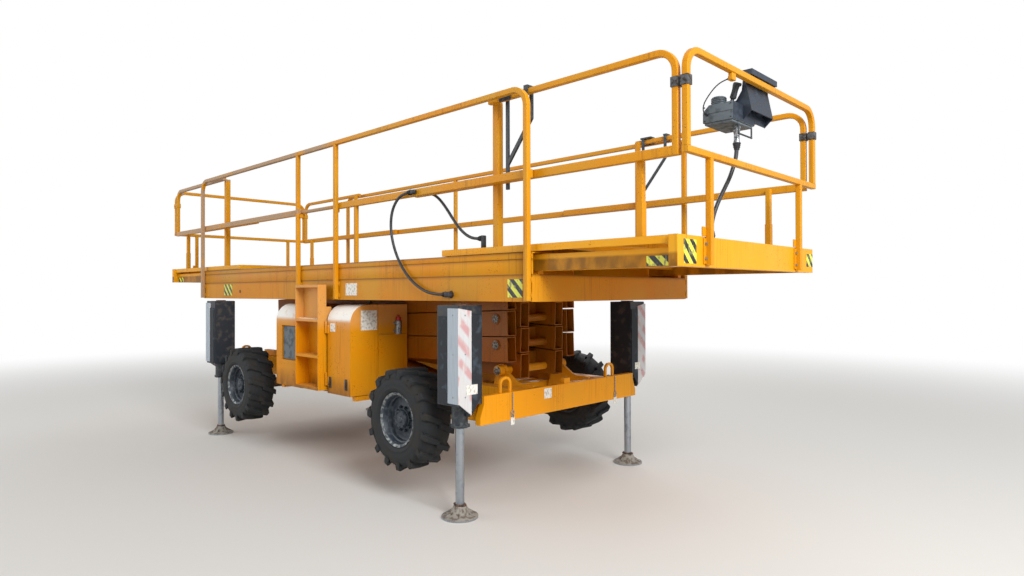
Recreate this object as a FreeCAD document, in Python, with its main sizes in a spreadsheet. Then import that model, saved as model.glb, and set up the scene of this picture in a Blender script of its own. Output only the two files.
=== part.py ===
import FreeCAD, Part
import math
import operator
import os
import Sketcher

# A rough terrain scissor lift, standing on its four stabiliser jacks with the wheels off the ground.
# Millimetres. +X runs along the length to the steered end, +Z is up, the near side is -Y.
# The origin is on the ground, midway between the four jack feet.

Vector = FreeCAD.Vector
Rotation = FreeCAD.Rotation
doc = FreeCAD.newDocument("ScissorLift")
sheet = doc.addObject("Spreadsheet::Sheet", "Sizes")


# A size is a number that keeps the formula it came from, so that a property can be bound to it.
class Size:
    def __init__(self, value, text):
        self.value = value
        self.text = text

    def __add__(self, other):
        return combined(self, "+", other)

    def __radd__(self, other):
        return combined(other, "+", self)

    def __sub__(self, other):
        return combined(self, "-", other)

    def __rsub__(self, other):
        return combined(other, "-", self)

    def __mul__(self, other):
        return combined(self, "*", other)

    def __rmul__(self, other):
        return combined(other, "*", self)

    def __truediv__(self, other):
        return combined(self, "/", other)

    def __neg__(self):
        return combined(-1, "*", self)


SIGNS = {"+": operator.add, "-": operator.sub, "*": operator.mul, "/": operator.truediv}


def as_size(number):
    return number if isinstance(number, Size) else Size(float(number), repr(float(number)))


def combined(first, sign, second):
    first, second = as_size(first), as_size(second)
    return Size(SIGNS[sign](first.value, second.value), f"({first.text} {sign} {second.text})")


def arc_sine(ratio):
    return Size(math.degrees(math.asin(ratio.value)), f"asin({ratio.text})")


def cosine(angle):
    return Size(math.cos(math.radians(angle.value)), f"cos({angle.text})")


def sine(angle):
    return Size(math.sin(math.radians(angle.value)), f"sin({angle.text})")


def arc_tangent(ratio):
    return Size(math.degrees(math.atan(ratio.value)), f"atan({ratio.text})")


def root(square):
    return Size(math.sqrt(square.value), f"sqrt({square.text})")


# Driving dimensions: name, millimetres, what it is.
ROWS = [
    ("clearance", 5, "least gap between pieces that move past each other"),
    ("seat_gap", 0.3, "running gap at rollers, pads and pins"),
    ("jack_x", 2200, "jack legs, from the middle of the machine"),
    ("jack_y", 1120, "jack legs, from the centre line"),
    ("jack_rod", 34, "radius of the jack rod"),
    ("jack_rod_top", 1000, "upper end of the jack rod inside its housing"),
    ("foot_radius", 140, "jack foot"),
    ("foot_rim", 14, "thickness of the foot's plate"),
    ("foot_height", 88, "top of the foot's cone"),
    ("collar_bottom", 684, "lower end of the black guide tube"),
    ("collar_radius", 62, "outside of the black guide tube"),
    ("housing_bottom", 862, "lower end of the jack housing"),
    ("housing_top", 1612, "upper end of the jack housing"),
    ("housing_half", 120, "half of the housing's square section"),
    ("housing_wall", 10, "wall of the housing"),
    ("strip", 10, "thickness of the bumper strips and boards"),
    ("board_width", 110, "width of the striped board on a housing's face"),
    ("rubber_width", 104, "width of the rubber strip beside the board"),
    ("board_tip", 790, "lowest corner of the end boards"),
    ("chassis_bottom", 700, "underside of the chassis rails"),
    ("chassis_top", 920, "top of the chassis rails and end beams"),
    ("rail_inner", 462, "inner face of a chassis rail, from the centre line"),
    ("rail_outer", 600, "outer face of a chassis rail"),
    ("end_face", 2345, "outer face of the end beams"),
    ("end_depth", 55, "thickness of the end beams"),
    ("cross_low", 740, "top of the low cross members under the lift cylinder"),
    ("cross_high", 860, "top of the cross members at the axles"),
    ("wheel_x", 1530, "axles, from the middle of the machine"),
    ("axle_height", 665, "wheel centres"),
    ("wheel_y", 1087, "middle plane of the wheels"),
    ("tyre_radius", 415, "tyre, to the tips of its lugs"),
    ("tyre_width", 307, "tyre"),
    ("lug_height", 26, "tread lugs"),
    ("shoulder", 46, "cut-off shoulders of the tyre's body"),
    ("rim_radius", 210, "bead seat of the rim"),
    ("kingpin_y", 870, "steering pivots, from the centre line"),
    ("spindle", 38, "radius of the wheel spindles"),
    ("axle_size", 100, "axle beam's square section"),
    ("arm_length", 3850, "scissor arm, between its end pins"),
    ("stage_pitch", 225, "rise from one pin to the next when lowered"),
    ("pin_offset", 40, "end pins, off the middle line of the tube"),
    ("pivot_x", 1920, "fixed pins, from the middle of the machine"),
    ("pivot_height", 1030, "lowest fixed pin"),
    ("arm_height", 216, "scissor tube"),
    ("arm_width", 110, "scissor tube"),
    ("arm_wall", 8, "wall of the scissor tube"),
    ("arm_overhang", 130, "tube past its end pin"),
    ("inner_arm", 175, "inner face of the inner arms, from the centre line"),
    ("outer_arm", 342, "inner face of the outer arms"),
    ("pin_radius", 35, "scissor pins"),
    ("boss_radius", 47, "pin heads"),
    ("boss_width", 12, "pin heads"),
    ("roller_radius", 50, "rollers at the free ends"),
    ("roller_width", 46, "rollers at the free ends"),
    ("deck_half", 2890, "half length of the fixed platform"),
    ("deck_side", 1055, "outer face of the platform's side beams"),
    ("beam_bottom", 1643, "underside of the platform's beams"),
    ("beam_top", 1838, "top of the platform's lower beams"),
    ("beam_width", 60, "platform's lower beams"),
    ("channel_top", 1956, "top of the platform's side channels"),
    ("channel_wall", 12, "web of the platform's side channels"),
    ("deck_top", 1994, "walking surface of the fixed deck"),
    ("deck_plate", 8, "deck plates"),
    ("extension_top", 2050, "walking surface of the extension decks"),
    ("extension_end", 4030, "outer face of the extension decks"),
    ("extension_inner", 1885, "inner end of the extension plates"),
    ("extension_side", 1030, "side edge of the extension plates"),
    ("floor_panel", 2, "chequer panel of an extension deck, above its plate"),
    ("floor_half", 890, "half width of the chequer panel"),
    ("slide_outer", 990, "outer face of the extension's side beams"),
    ("slide_inner", 910, "inner face of the extension's side beams"),
    ("slide_bottom", 1862, "underside of the extension's side beams"),
    ("slide_top", 1978, "top of the extension's side beams"),
    ("slide_end", 1905, "inner end of the extension's side beams"),
    ("rail_height", 3149, "top rails"),
    ("mid_height", 2549, "middle rails"),
    ("rail_tube", 24, "radius of the rail tubes"),
    ("rail_bend", 130, "radius of the rails' rounded corners"),
    ("rail_y", 1080, "fixed side rails, from the centre line"),
    ("end_post", 2866, "end posts of the fixed rails"),
    ("entry_post", 365, "posts beside the entry"),
    ("stand_x", 635, "slim stand of the near middle rail, from the middle of the machine"),
    ("stand", 30, "square section of the slim stand"),
    ("post_bottom", 1650, "lower end of the fixed posts"),
    ("slide_rail_y", 990, "extension side rails"),
    ("big_post", 70, "square posts of the extension rails"),
    ("near_post_x", 2440, "inner square post of an extension"),
    ("far_post_x", 3745, "outer square post of an extension"),
    ("end_leg_y", 710, "legs of the end rails"),
    ("cover_outer", 1120, "outer face of the side covers"),
    ("cover_inner", 640, "inner face of the side covers"),
    ("cover_bottom", 742, "underside of the side covers"),
    ("cover_top", 1596, "top of the side covers"),
    ("cover_round", 170, "rounded top corner of the side covers"),
    ("cover_wall", 20, "wall of the side covers"),
    ("cabinet_inner", 470, "inner face of the cabinets beside the arms"),
    ("hood_inner", 817, "seam between a hood and the cabinet behind it"),
    ("hinge_pin", 9, "radius of the hoods' hinges"),
    ("cover_right", 680, "end of the side covers towards the steered end"),
    ("cover_left", 760, "end of the side covers towards the other end"),
    ("ladder_left", 190, "ladder, left of the middle"),
    ("ladder_right", 250, "ladder, right of the middle"),
    ("ladder_face", 1205, "outer face of the ladder"),
    ("ladder_plate", 10, "plates of the ladder"),
    ("foot_pin_x", 850, "lower pin of the lift cylinder"),
    ("foot_pin_z", 780, "lower pin of the lift cylinder"),
    ("eye_reach", 2750, "upper pin of the lift cylinder, along the lower inner arm"),
    ("eye_drop", 100, "upper pin, below the line of the arm's pins"),
    ("barrel_radius", 60, "lift cylinder"),
    ("barrel_length", 1450, "lift cylinder, from its foot pin"),
    ("ram_radius", 36, "lift cylinder's rod"),
    ("eye_width", 76, "eyes of the lift cylinder"),
    ("eye_radius", 60, "eyes of the lift cylinder"),
]


class Named:
    pass


S = Named()
for line, (name, number, meaning) in enumerate(ROWS, start=1):
    sheet.set(f"A{line}", meaning)
    sheet.set(f"B{line}", str(number))
    sheet.setAlias(f"B{line}", name)
    setattr(S, name, Size(float(number), f"Sizes.{name}"))
doc.recompute()

SUB_PARTS = []


def sub_part(thing, node):
    thing.Label = node
    SUB_PARTS.append(thing)
    return thing


def bind(thing, prop, size):
    thing.setExpression(prop, as_size(size).text)


def place(thing, x=0, y=0, z=0, rotation=Rotation(), angle=None):
    thing.Placement = FreeCAD.Placement(Vector(0, 0, 0), rotation)
    for letter, size in zip("xyz", (x, y, z)):
        bind(thing, f"Placement.Base.{letter}", size)
    if angle is not None:
        bind(thing, "Placement.Rotation.Angle", angle)
    return thing


def block(x, y, z):
    box = doc.addObject("Part::Box", "Block")
    for prop, (low, high) in zip(("Length", "Width", "Height"), (x, y, z)):
        bind(box, prop, high - as_size(low))
    return place(box, x[0], y[0], z[0])


TURN_TO = {
    "X": Rotation(Vector(0, 1, 0), 90),
    "Y": Rotation(Vector(1, 0, 0), -90),
    "Z": Rotation(),
}


def bar(axis, radius, centre, ends):
    """A round bar along axis; centre holds the other two coordinates, in X, Y, Z order."""
    solid = doc.addObject("Part::Cylinder", "Bar")
    bind(solid, "Radius", radius)
    bind(solid, "Height", ends[1] - as_size(ends[0]))
    spot = list(centre)
    spot.insert("XYZ".index(axis), ends[0])
    return place(solid, *spot, rotation=TURN_TO[axis])


def rod(axis, radius, centre, ends, sides=12):
    """A many-sided bar where nothing turns on it, lighter than a full round; it has a corner on each axis."""
    solid = doc.addObject("Part::Prism", "Rod")
    solid.Polygon = sides
    bind(solid, "Circumradius", radius)
    bind(solid, "Height", ends[1] - as_size(ends[0]))
    spot = list(centre)
    spot.insert("XYZ".index(axis), ends[0])
    return place(solid, *spot, rotation=TURN_TO[axis])


def ruled(rings):
    solid = doc.addObject("Part::Loft", "Ruled")
    solid.Sections = rings
    solid.Solid = True
    solid.Ruled = True
    return solid


BEND_PLANES = {
    "XZ": Rotation(Vector(1, 0, 0), 90),
    "YZ": Rotation(Vector(1, 1, 1), 120),
    "XY": Rotation(),
}


def bend(plane, quarter, bend_radius, tube_radius, spot, steps=5):
    """A quarter bend of rod about spot; quarter 0 lies between the two positive directions."""
    rings = []
    for step in range(steps + 1):
        turn = BEND_PLANES[plane] * Rotation(Vector(0, 0, 1), 90 * (quarter + step / steps))
        out = turn.multVec(Vector(1, 0, 0))
        ring = doc.addObject("Part::RegularPolygon", "Ring")
        ring.Polygon = 12
        bind(ring, "Circumradius", tube_radius)
        middle = [at + bend_radius * share for at, share in zip(spot, out)]
        rings.append(place(ring, *middle, rotation=turn * Rotation(Vector(1, 0, 0), 90)))
    return ruled(rings)


def fused(pieces):
    if len(pieces) == 1:
        return pieces[0]
    whole = doc.addObject("Part::MultiFuse", "Joined")
    whole.Shapes = pieces
    whole.Refine = True
    return whole


def cut(body, tools):
    result = doc.addObject("Part::Cut", "Trimmed")
    result.Base = body
    result.Tool = fused(tools)
    result.Refine = True
    return result


def outline(body, plane, corners):
    """A closed sketch on one of the body's own planes, each corner held by its two coordinates."""
    sketch = body.newObject("Sketcher::SketchObject", "Outline")
    base = next(item for item in body.Origin.OriginFeatures if item.Role == plane + "_Plane")
    sketch.AttachmentSupport = [(base, "")]
    sketch.MapMode = "FlatFace"
    sized = [(as_size(u), as_size(v)) for u, v in corners]
    spots = [Vector(u.value, v.value, 0) for u, v in sized]
    count = len(spots)
    for index in range(count):
        sketch.addGeometry(Part.LineSegment(spots[index], spots[(index + 1) % count]), False)
    for index in range(count):
        sketch.addConstraint(Sketcher.Constraint("Coincident", index, 2, (index + 1) % count, 1))
    for index, pair in enumerate(sized):
        for kind, size in zip(("DistanceX", "DistanceY"), pair):
            number = sketch.addConstraint(Sketcher.Constraint(kind, -1, 1, index, 1, size.value))
            sketch.setExpression(f"Constraints[{number}]", size.text)
    return sketch


def plate(plane, corners, ends, rounds=()):
    """A flat outline given thickness along its normal; rounds holds (radius, [corner numbers])."""
    body = doc.addObject("PartDesign::Body", "Plate")
    sketch = outline(body, plane, corners)
    pad = body.newObject("PartDesign::Pad", "Pad")
    pad.Profile = sketch
    bind(pad, "Length", ends[1] - as_size(ends[0]))
    pad.Reversed = plane == "XZ"
    body.Tip = pad
    normal = {"XY": 2, "XZ": 1, "YZ": 0}[plane]
    for radius, numbers in rounds:
        doc.recompute()
        sharp = body.Tip
        wanted = []
        for index, edge in enumerate(sharp.Shape.Edges, start=1):
            direction = edge.tangentAt(edge.FirstParameter)
            if len(edge.Vertexes) != 2 or abs(abs(direction[normal]) - 1) > 1e-6:
                continue
            middle = list(edge.CenterOfMass)
            middle.pop(normal)
            for number in numbers:
                u, v = (as_size(size).value for size in corners[number])
                if math.hypot(middle[0] - u, middle[1] - v) < 0.01:
                    wanted.append(f"Edge{index}")
        fillet = body.newObject("PartDesign::Fillet", "Round")
        fillet.Base = (sharp, wanted)
        bind(fillet, "Radius", radius)
        body.Tip = fillet
    shift = [0, 0, 0]
    shift[normal] = ends[0]
    return place(body, *shift)


def turned(axis, corners):
    """A solid of revolution about Y or Z; each corner is (along the axis, radius)."""
    body = doc.addObject("PartDesign::Body", "Turned")
    plane = {"Y": "YZ", "Z": "XZ"}[axis]
    pairs = corners if axis == "Y" else [(radius, along) for along, radius in corners]
    sketch = outline(body, plane, pairs)
    turn = body.newObject("PartDesign::Revolution", "Turn")
    turn.Profile = sketch
    turn.ReferenceAxis = (sketch, ["H_Axis" if axis == "Y" else "V_Axis"])
    turn.Angle = 360
    body.Tip = turn
    return body


def sided(side, near, far):
    """The span from near to far on one side of the centre line."""
    return (near, far) if side > 0 else (-as_size(far), -as_size(near))


BOTH = (-1, 1)
ENDS = {"front": 1, "rear": -1}
SIDES = {"near": -1, "far": 1}


# Chassis: two rails, cross members, outriggers to the jack housings, axle seats and roller tracks.
def chassis_frame():
    inside = S.end_face - S.end_depth
    pieces = []
    for side in BOTH:
        pieces.append(block((-inside, inside), sided(side, S.rail_inner, S.rail_outer),
                            (S.chassis_bottom, S.chassis_top)))
        track_top = S.pivot_height - S.roller_radius - S.seat_gap
        pieces.append(block((-inside, 160), sided(side, S.rail_inner, S.rail_inner + 62),
                            (S.chassis_top, track_top)))
        for end in BOTH:
            x = sided(end, S.jack_x - 70, S.jack_x + 50)
            pieces.append(block(x, sided(side, S.rail_outer, S.jack_y - S.housing_half),
                                (S.chassis_bottom + 20, S.cross_high)))
    for end in BOTH:
        x = sided(end, S.wheel_x - 60, S.wheel_x + 60)
        pieces.append(block(x, (-S.rail_inner, S.rail_inner), (S.chassis_bottom + 75, S.cross_high)))
        x = sided(end, S.pivot_x - 220, S.pivot_x - 150)
        pieces.append(block(x, (-S.rail_inner, S.rail_inner), (S.chassis_bottom, S.cross_high)))
    for x in (-S.foot_pin_x, S.foot_pin_x):
        pieces.append(block((x - 60, x + 60), (-S.rail_inner, S.rail_inner),
                            (S.chassis_bottom, S.cross_low)))
    for low, high in ((-S.cover_left, 60 - S.cover_left), (S.cover_right - 60, S.cover_right)):
        for side in BOTH:
            pieces.append(block((low, high), sided(side, S.rail_outer, S.cover_outer - 60),
                                (S.chassis_bottom, S.cover_bottom)))
    for side in BOTH:
        ear = (S.eye_width / 2 + 4, S.eye_width / 2 + 20)
        lug = plate("XZ", [(S.foot_pin_x - 60, S.cross_low), (S.foot_pin_x + 60, S.cross_low),
                           (S.foot_pin_x + 50, S.foot_pin_z + 50), (S.foot_pin_x - 50, S.foot_pin_z + 50)],
                    sided(side, *ear), [(40, [2, 3])])
        pieces.append(lug)
    pieces.append(bar("Y", 25, (S.foot_pin_x, S.foot_pin_z), (-S.eye_width / 2 - 30, S.eye_width / 2 + 30)))
    notch = block((S.foot_pin_x - S.eye_radius - 1, S.foot_pin_x + S.eye_radius + 1),
                  (-S.eye_width / 2 - 4, S.eye_width / 2 + 4), (S.chassis_bottom + 15, S.cross_low + 1))
    sub_part(cut(fused(pieces), [notch]), "chassis_frame")


# Pivot brackets: ears with a swept foot that carry the lowest fixed pin.
def pivot_brackets():
    inside = S.end_face - S.end_depth
    low_x = S.pivot_x - 150
    ear_top = S.pivot_height + 55
    plate_inner = S.inner_arm + S.arm_width + 80
    pieces = []
    for side in BOTH:
        corners = [(low_x, S.cross_low), (inside, S.chassis_bottom + 60), (inside, S.chassis_top + 14),
                   (S.pivot_x + 190, S.chassis_top + 22), (S.pivot_x + 60, S.pivot_height),
                   (S.pivot_x + 45, ear_top), (S.pivot_x - 45, ear_top), (S.pivot_x - 90, S.chassis_top)]
        pieces.append(plate("XZ", corners, sided(side, plate_inner, plate_inner + 25),
                            [(35, [5, 6]), (110, [3])]))
        head = sided(side, plate_inner + 20, plate_inner + 75)
        pieces.append(bar("Y", S.boss_radius, (S.pivot_x, S.pivot_height), head))
    reach = plate_inner + 10
    pieces.append(bar("Y", S.pin_radius, (S.pivot_x, S.pivot_height), (-reach, reach)))
    sub_part(fused(pieces), "pivot_brackets")


# End beams: a deep plate across each end with two lifting loops and a tow eye.
def end_beams():
    pieces = []
    wide = S.jack_y - S.housing_half
    for end in BOTH:
        x = sided(end, S.end_face - S.end_depth, S.end_face)
        corners = [(-wide - 40, S.chassis_bottom), (wide + 40, S.chassis_bottom),
                   (wide + 40, S.chassis_bottom + 60), (wide, S.housing_bottom), (wide, S.chassis_top),
                   (-wide, S.chassis_top), (-wide, S.housing_bottom), (-wide - 40, S.chassis_bottom + 60)]
        beam = [plate("YZ", corners, x)]
        middle_x = (x[0] + x[1]) / 2
        for y in (-750, 640):
            low, high = S.chassis_top - 5, S.chassis_top + 126
            arch = [(y - 66, low), (y + 66, low), (y + 66, high), (y - 66, high)]
            room = [(y - 44, low - 1), (y + 44, low - 1), (y + 44, high - 22), (y - 44, high - 22)]
            outer = plate("YZ", arch, (middle_x - 10, middle_x + 10), [(60, [2, 3])])
            beam.append(cut(outer, [plate("YZ", room, (middle_x - 11, middle_x + 11), [(40, [2, 3])])]))
        beam.append(block((middle_x - 20, middle_x + 20), (-40, 40), (S.chassis_top - 5, S.chassis_top + 45)))
        pieces.append(fused(beam))
    sub_part(grouped(pieces), "end_beams")


# Jack housings: four square tubes, open below but for the guide's seat.
def jack_housings():
    pieces = []
    tubes = []
    for end in BOTH:
        for side in BOTH:
            x, y = end * S.jack_x, side * S.jack_y
            half, inner = S.housing_half, S.housing_half - S.housing_wall
            shell = block((x - half, x + half), (y - half, y + half), (S.housing_bottom, S.housing_top))
            room = block((x - inner, x + inner), (y - inner, y + inner),
                         (S.housing_bottom + S.housing_wall, S.housing_top - S.housing_wall))
            hole = bar("Z", S.collar_radius - 10, (x, y), (S.housing_bottom - 1, S.housing_bottom + 20))
            pieces.append(cut(shell, [room, hole]))
            sleeve = bar("Z", S.collar_radius, (x, y), (S.collar_bottom, S.housing_bottom))
            bore = bar("Z", S.jack_rod + S.seat_gap, (x, y), (S.collar_bottom - 1, S.housing_bottom + 1))
            tubes.append(cut(sleeve, [bore]))
    sub_part(grouped(pieces), "jack_housings")
    sub_part(grouped(tubes), "jack_tubes")


def grouped(pieces):
    """Solids of one node that don't touch each other."""
    whole = doc.addObject("Part::Compound", "Group")
    whole.Links = pieces
    return whole


# Boards and rubber strips on the outer faces of the jack housings.
def bumper_boards():
    boards = []
    rubbers = []
    for end in BOTH:
        for side in BOTH:
            x, y = end * S.jack_x, side * S.jack_y
            corner_x, corner_y = S.jack_x + S.housing_half, S.jack_y + S.housing_half
            top = S.housing_top - 20
            # The side face has the board at the corner and the rubber inboard of it.
            outer = sided(side, corner_y, corner_y + S.strip)
            board_x = sided(end, corner_x - S.board_width, corner_x + S.strip)
            boards.append(block(board_x, outer, (S.housing_bottom + 20, top)))
            rubber_x = sided(end, corner_x - S.board_width - S.rubber_width - 4, corner_x - S.board_width - 4)
            rubbers.append(block(rubber_x, outer, (S.housing_bottom + 10, top - 60)))
            # The end face has a board whose lower edge slopes down to a tip.
            low = S.jack_y - S.housing_half + S.rubber_width
            corners = [(side * corner_y, S.housing_bottom + 20), (side * corner_y, top),
                       (side * (low + 12), top - 20), (side * (low + 12), S.board_tip)]
            face = sided(end, corner_x, corner_x + S.strip)
            boards.append(plate("YZ", corners, face))
            corners = [(side * (low + 8), S.board_tip), (side * (low + 8), top - 50),
                       (side * (low + 8 - S.rubber_width), top - 50),
                       (side * (low + 8 - S.rubber_width), S.chassis_top + 10)]
            rubbers.append(plate("YZ", corners, face))
    sub_part(grouped(boards), "warning_boards")
    sub_part(grouped(rubbers), "rubber_strips")


# Axles: a beam under the rails; the steered one ends in yokes, the fixed one in spindles.
def axles():
    top = S.chassis_bottom
    low = top - S.axle_size
    for name, end in ENDS.items():
        x = end * S.wheel_x
        half = S.axle_size / 2
        reach = S.kingpin_y - 62 if name == "front" else S.kingpin_y
        pieces = [block((x - half, x + half), (-reach, reach), (low, top))]
        pieces.append(rod("Y", 120, (x, low + half), (-130, 130), sides=24))
        nose = (x - 150, x - 40) if end > 0 else (x + 40, x + 150)
        pieces.append(rod("X", 70, (0, low + half), nose, sides=24))
        for side in BOTH:
            if name == "front":
                for lug_low in (low - 12, top + 42):
                    arm = sided(side, reach - 40, S.kingpin_y)
                    pieces.append(block((x - 48, x + 48), arm, (lug_low, lug_low + 28)))
                    pieces.append(bar("Z", 48, (x, side * S.kingpin_y), (lug_low, lug_low + 28)))
                pieces.append(block((x - 48, x + 48), sided(side, reach - 40, reach), (low - 12, top + 70)))
            else:
                hub = sided(side, S.kingpin_y, S.wheel_y - 60)
                pieces.append(rod("Y", 95, (x, S.axle_height), hub, sides=24))
                spindle = sided(side, S.kingpin_y, S.wheel_y + 60)
                pieces.append(bar("Y", S.spindle, (x, S.axle_height), spindle))
        beam = fused(pieces)
        if name == "front":
            holes = [bar("Z", 22 + S.seat_gap, (x, side * S.kingpin_y), (low - 20, top + 80)) for side in BOTH]
            beam = cut(beam, holes)
        sub_part(beam, f"axle_{name}")


# Knuckles: a barrel between the yoke's lugs, its kingpin and the wheel spindle.
def knuckles():
    low, high = S.chassis_bottom - S.axle_size + 16, S.chassis_bottom + 42
    for name, side in SIDES.items():
        y = side * S.kingpin_y
        pieces = [bar("Z", 45, (S.wheel_x, y), (low + 5, high - 5))]
        pieces.append(bar("Z", 22, (S.wheel_x, y), (low - 35, high + 35)))
        stub = sided(side, S.kingpin_y + 12, S.wheel_y + 60)
        pieces.append(bar("Y", S.spindle, (S.wheel_x, S.axle_height), stub))
        flange = sided(side, S.kingpin_y + 55, S.wheel_y - 95)
        pieces.append(rod("Y", 60, (S.wheel_x, S.axle_height), flange, sides=24))
        arm = sided(1, S.wheel_x - 190, S.wheel_x)
        pieces.append(block(arm, (y - 15, y + 15), (S.axle_height - 45, S.axle_height - 20)))
        sub_part(fused(pieces), f"knuckle_{name}")


# Wheels: a dished rim on each spindle and a lugged tyre on each rim. Both are many-sided drums, two
# sides to a lug, which keeps their facets few.
LUGS = 15
TYRE_SIDES = 2 * LUGS


def drum(radius, ends):
    return rod("Y", radius, (0, 0), ends, sides=TYRE_SIDES)


def carcass(radius, half, shoulder):
    """The tyre's body: a many-sided drum with its shoulders cut off at 45 degrees."""
    body = drum(radius, (-half, half))
    doc.recompute()
    level = [index for index, edge in enumerate(body.Shape.Edges, start=1)
             if abs(edge.Vertexes[0].Y - edge.Vertexes[1].Y) < 0.001]
    chamfer = doc.addObject("Part::Chamfer", "Shoulders")
    chamfer.Base = body
    chamfer.Edges = [(index, shoulder.value, shoulder.value) for index in level]
    return chamfer


def tread_lugs(row, slant, phase):
    """One row of slanted lugs from a shoulder to just past the middle of the tread."""
    shoulder, middle = S.tyre_width / 2 - 4, -14
    lean, width = 30, 46
    foot = S.tyre_radius - S.lug_height - 12
    corners = [(-lean - width / 2, row * shoulder), (width / 2 - lean, row * shoulder),
               (lean + width / 2 - 8, row * middle), (lean - width / 2 + 8, row * middle)]
    lug = plate("XY", [(slant * x, y) for x, y in corners], (foot, S.tyre_radius - 1))
    lugs = []
    for number in range(LUGS):
        copy = doc.addObject("Part::Compound", "Lug")
        copy.Links = [lug]
        turn = Rotation(Vector(0, 1, 0), (number + phase) * 360 / LUGS)
        copy.Placement = FreeCAD.Placement(Vector(0, 0, 0), turn)
        lugs.append(copy)
    return lugs


def wheels():
    half = S.tyre_width / 2
    seat = S.rim_radius
    body = S.tyre_radius - S.lug_height
    for end_name, end in ENDS.items():
        for side_name, side in SIDES.items():
            spot = dict(x=end * S.wheel_x, y=side * S.wheel_y, z=S.axle_height)
            bore = S.spindle + S.seat_gap
            lip = half - 25
            dish = drum(seat - 16, sided(side, 52, lip + 1))
            back = drum(seat - 10, sided(-side, -34, lip + 1))
            hub = rod("Y", 100, (0, 0), sided(side, -40, 62), sides=24)
            hole = bar("Y", bore, (0, 0), (-lip, lip))
            rim = cut(fused([cut(drum(seat, (-lip, lip)), [dish, back]), hub]), [hole])
            sub_part(place(rim, **spot), f"rim_{end_name}_{side_name}")
            seat_hole = drum(seat + S.seat_gap, (-half - 1, half + 1))
            lugs = tread_lugs(1, side, 0) + tread_lugs(-1, -side, 0.5)
            tyre = cut(fused([carcass(body, half, S.shoulder)] + lugs), [seat_hole])
            sub_part(place(tyre, **spot), f"tyre_{end_name}_{side_name}")


# Jack legs: a chromed rod on a round foot.
def jack_legs():
    for end_name, end in ENDS.items():
        for side_name, side in SIDES.items():
            leg = turned("Z", [(0, 0), (0, S.foot_radius), (S.foot_rim, S.foot_radius),
                               (S.foot_rim + 16, S.foot_radius - 60), (S.foot_height, S.jack_rod + 14),
                               (S.foot_height, S.jack_rod), (S.jack_rod_top, S.jack_rod), (S.jack_rod_top, 0)])
            place(leg, end * S.jack_x, side * S.jack_y, 0)
            sub_part(leg, f"jack_leg_{end_name}_{side_name}")


# Scissor arms. Each frame is made flat about its middle pin and then turned to its closed slope.
CLOSED_ANGLE = arc_sine(S.stage_pitch / S.arm_length)
SKEW_ANGLE = arc_sine(S.pin_offset * 2 / S.arm_length)
MIDDLE_X = S.pivot_x - S.arm_length / 2 * cosine(CLOSED_ANGLE)
PIN_REACH = S.arm_length / 2 * cosine(SKEW_ANGLE)


def hollow_tube(side, inner):
    half = PIN_REACH + S.arm_overhang
    low, high = -S.arm_height / 2, S.arm_height / 2
    y = sided(side, inner, inner + S.arm_width)
    tube = block((-half, half), y, (low, high))
    wall = S.arm_wall
    room = block((-half - 1, half + 1), (y[0] + wall, y[1] - wall), (low + wall, high - wall))
    return cut(tube, [room])


def bush(x, z, side, inner):
    return rod("Y", S.pin_radius + 14, (x, z), sided(side, inner, inner + S.arm_width))


def inner_arms(stage):
    low = (PIN_REACH, -S.pin_offset)
    high = (-PIN_REACH, S.pin_offset)
    inner = S.inner_arm
    pieces = []
    for side in BOTH:
        pieces.append(hollow_tube(side, inner))
        for x, z in (low, (0, 0), high):
            pieces.append(bush(x, z, side, inner))
    for end in BOTH:
        x = sided(end, PIN_REACH - 190, PIN_REACH - 110)
        pieces.append(block(x, (-inner - 4, inner + 4), (-S.arm_height / 2 + 14, S.arm_height / 2 - 20)))
    if stage == 1:
        pieces += cylinder_lugs()
    reach = S.outer_arm + S.arm_width
    if stage == 3:
        reach = reach + S.roller_width + 14
        for side in BOTH:
            pieces.append(bar("Y", S.roller_radius, high, sided(side, reach - S.roller_width, reach)))
    else:
        reach = reach + S.boss_width
        for side in BOTH:
            head = sided(side, reach + S.seat_gap - S.boss_width, reach)
            pieces.append(rod("Y", S.boss_radius, high, head, sides=24))
    pieces.append(bar("Y", S.pin_radius, high, (-reach, reach)))
    holes = [bar("Y", S.pin_radius + S.seat_gap, spot, (-inner - S.arm_width - 1, inner + S.arm_width + 1))
             for spot in (low, (0, 0))]
    frame = cut(fused(pieces), holes)
    place_stage(frame, stage, 1)
    sub_part(frame, f"inner_arms_{stage}")


def outer_arms(stage):
    low = (-PIN_REACH, -S.pin_offset)
    high = (PIN_REACH, S.pin_offset)
    inner = S.outer_arm
    reach = inner + S.arm_width
    pieces = []
    for side in BOTH:
        pieces.append(hollow_tube(side, inner))
        for x, z in (low, (0, 0), high):
            pieces.append(bush(x, z, side, inner))
        if stage == 1:
            pieces.append(bar("Y", S.pin_radius, low, sided(side, inner, reach + S.roller_width + 10)))
            roller = sided(side, reach + 12, reach + 12 + S.roller_width)
            pieces.append(bar("Y", S.roller_radius, low, roller))
        for spot in ((0, 0), high):
            head = sided(side, reach - 1, reach + S.boss_width - 4)
            pieces.append(rod("Y", S.boss_radius, spot, head, sides=24))
    pieces.append(bar("Y", S.pin_radius, (0, 0), (-reach, reach)))
    top_reach = reach + 66 if stage == 3 else reach
    pieces.append(bar("Y", S.pin_radius, high, (-top_reach, top_reach)))
    frame = fused(pieces)
    if stage > 1:
        frame = cut(frame, [bar("Y", S.pin_radius + S.seat_gap, low, (-reach - 1, reach + 1))])
    place_stage(frame, stage, -1)
    sub_part(frame, f"outer_arms_{stage}")


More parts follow.
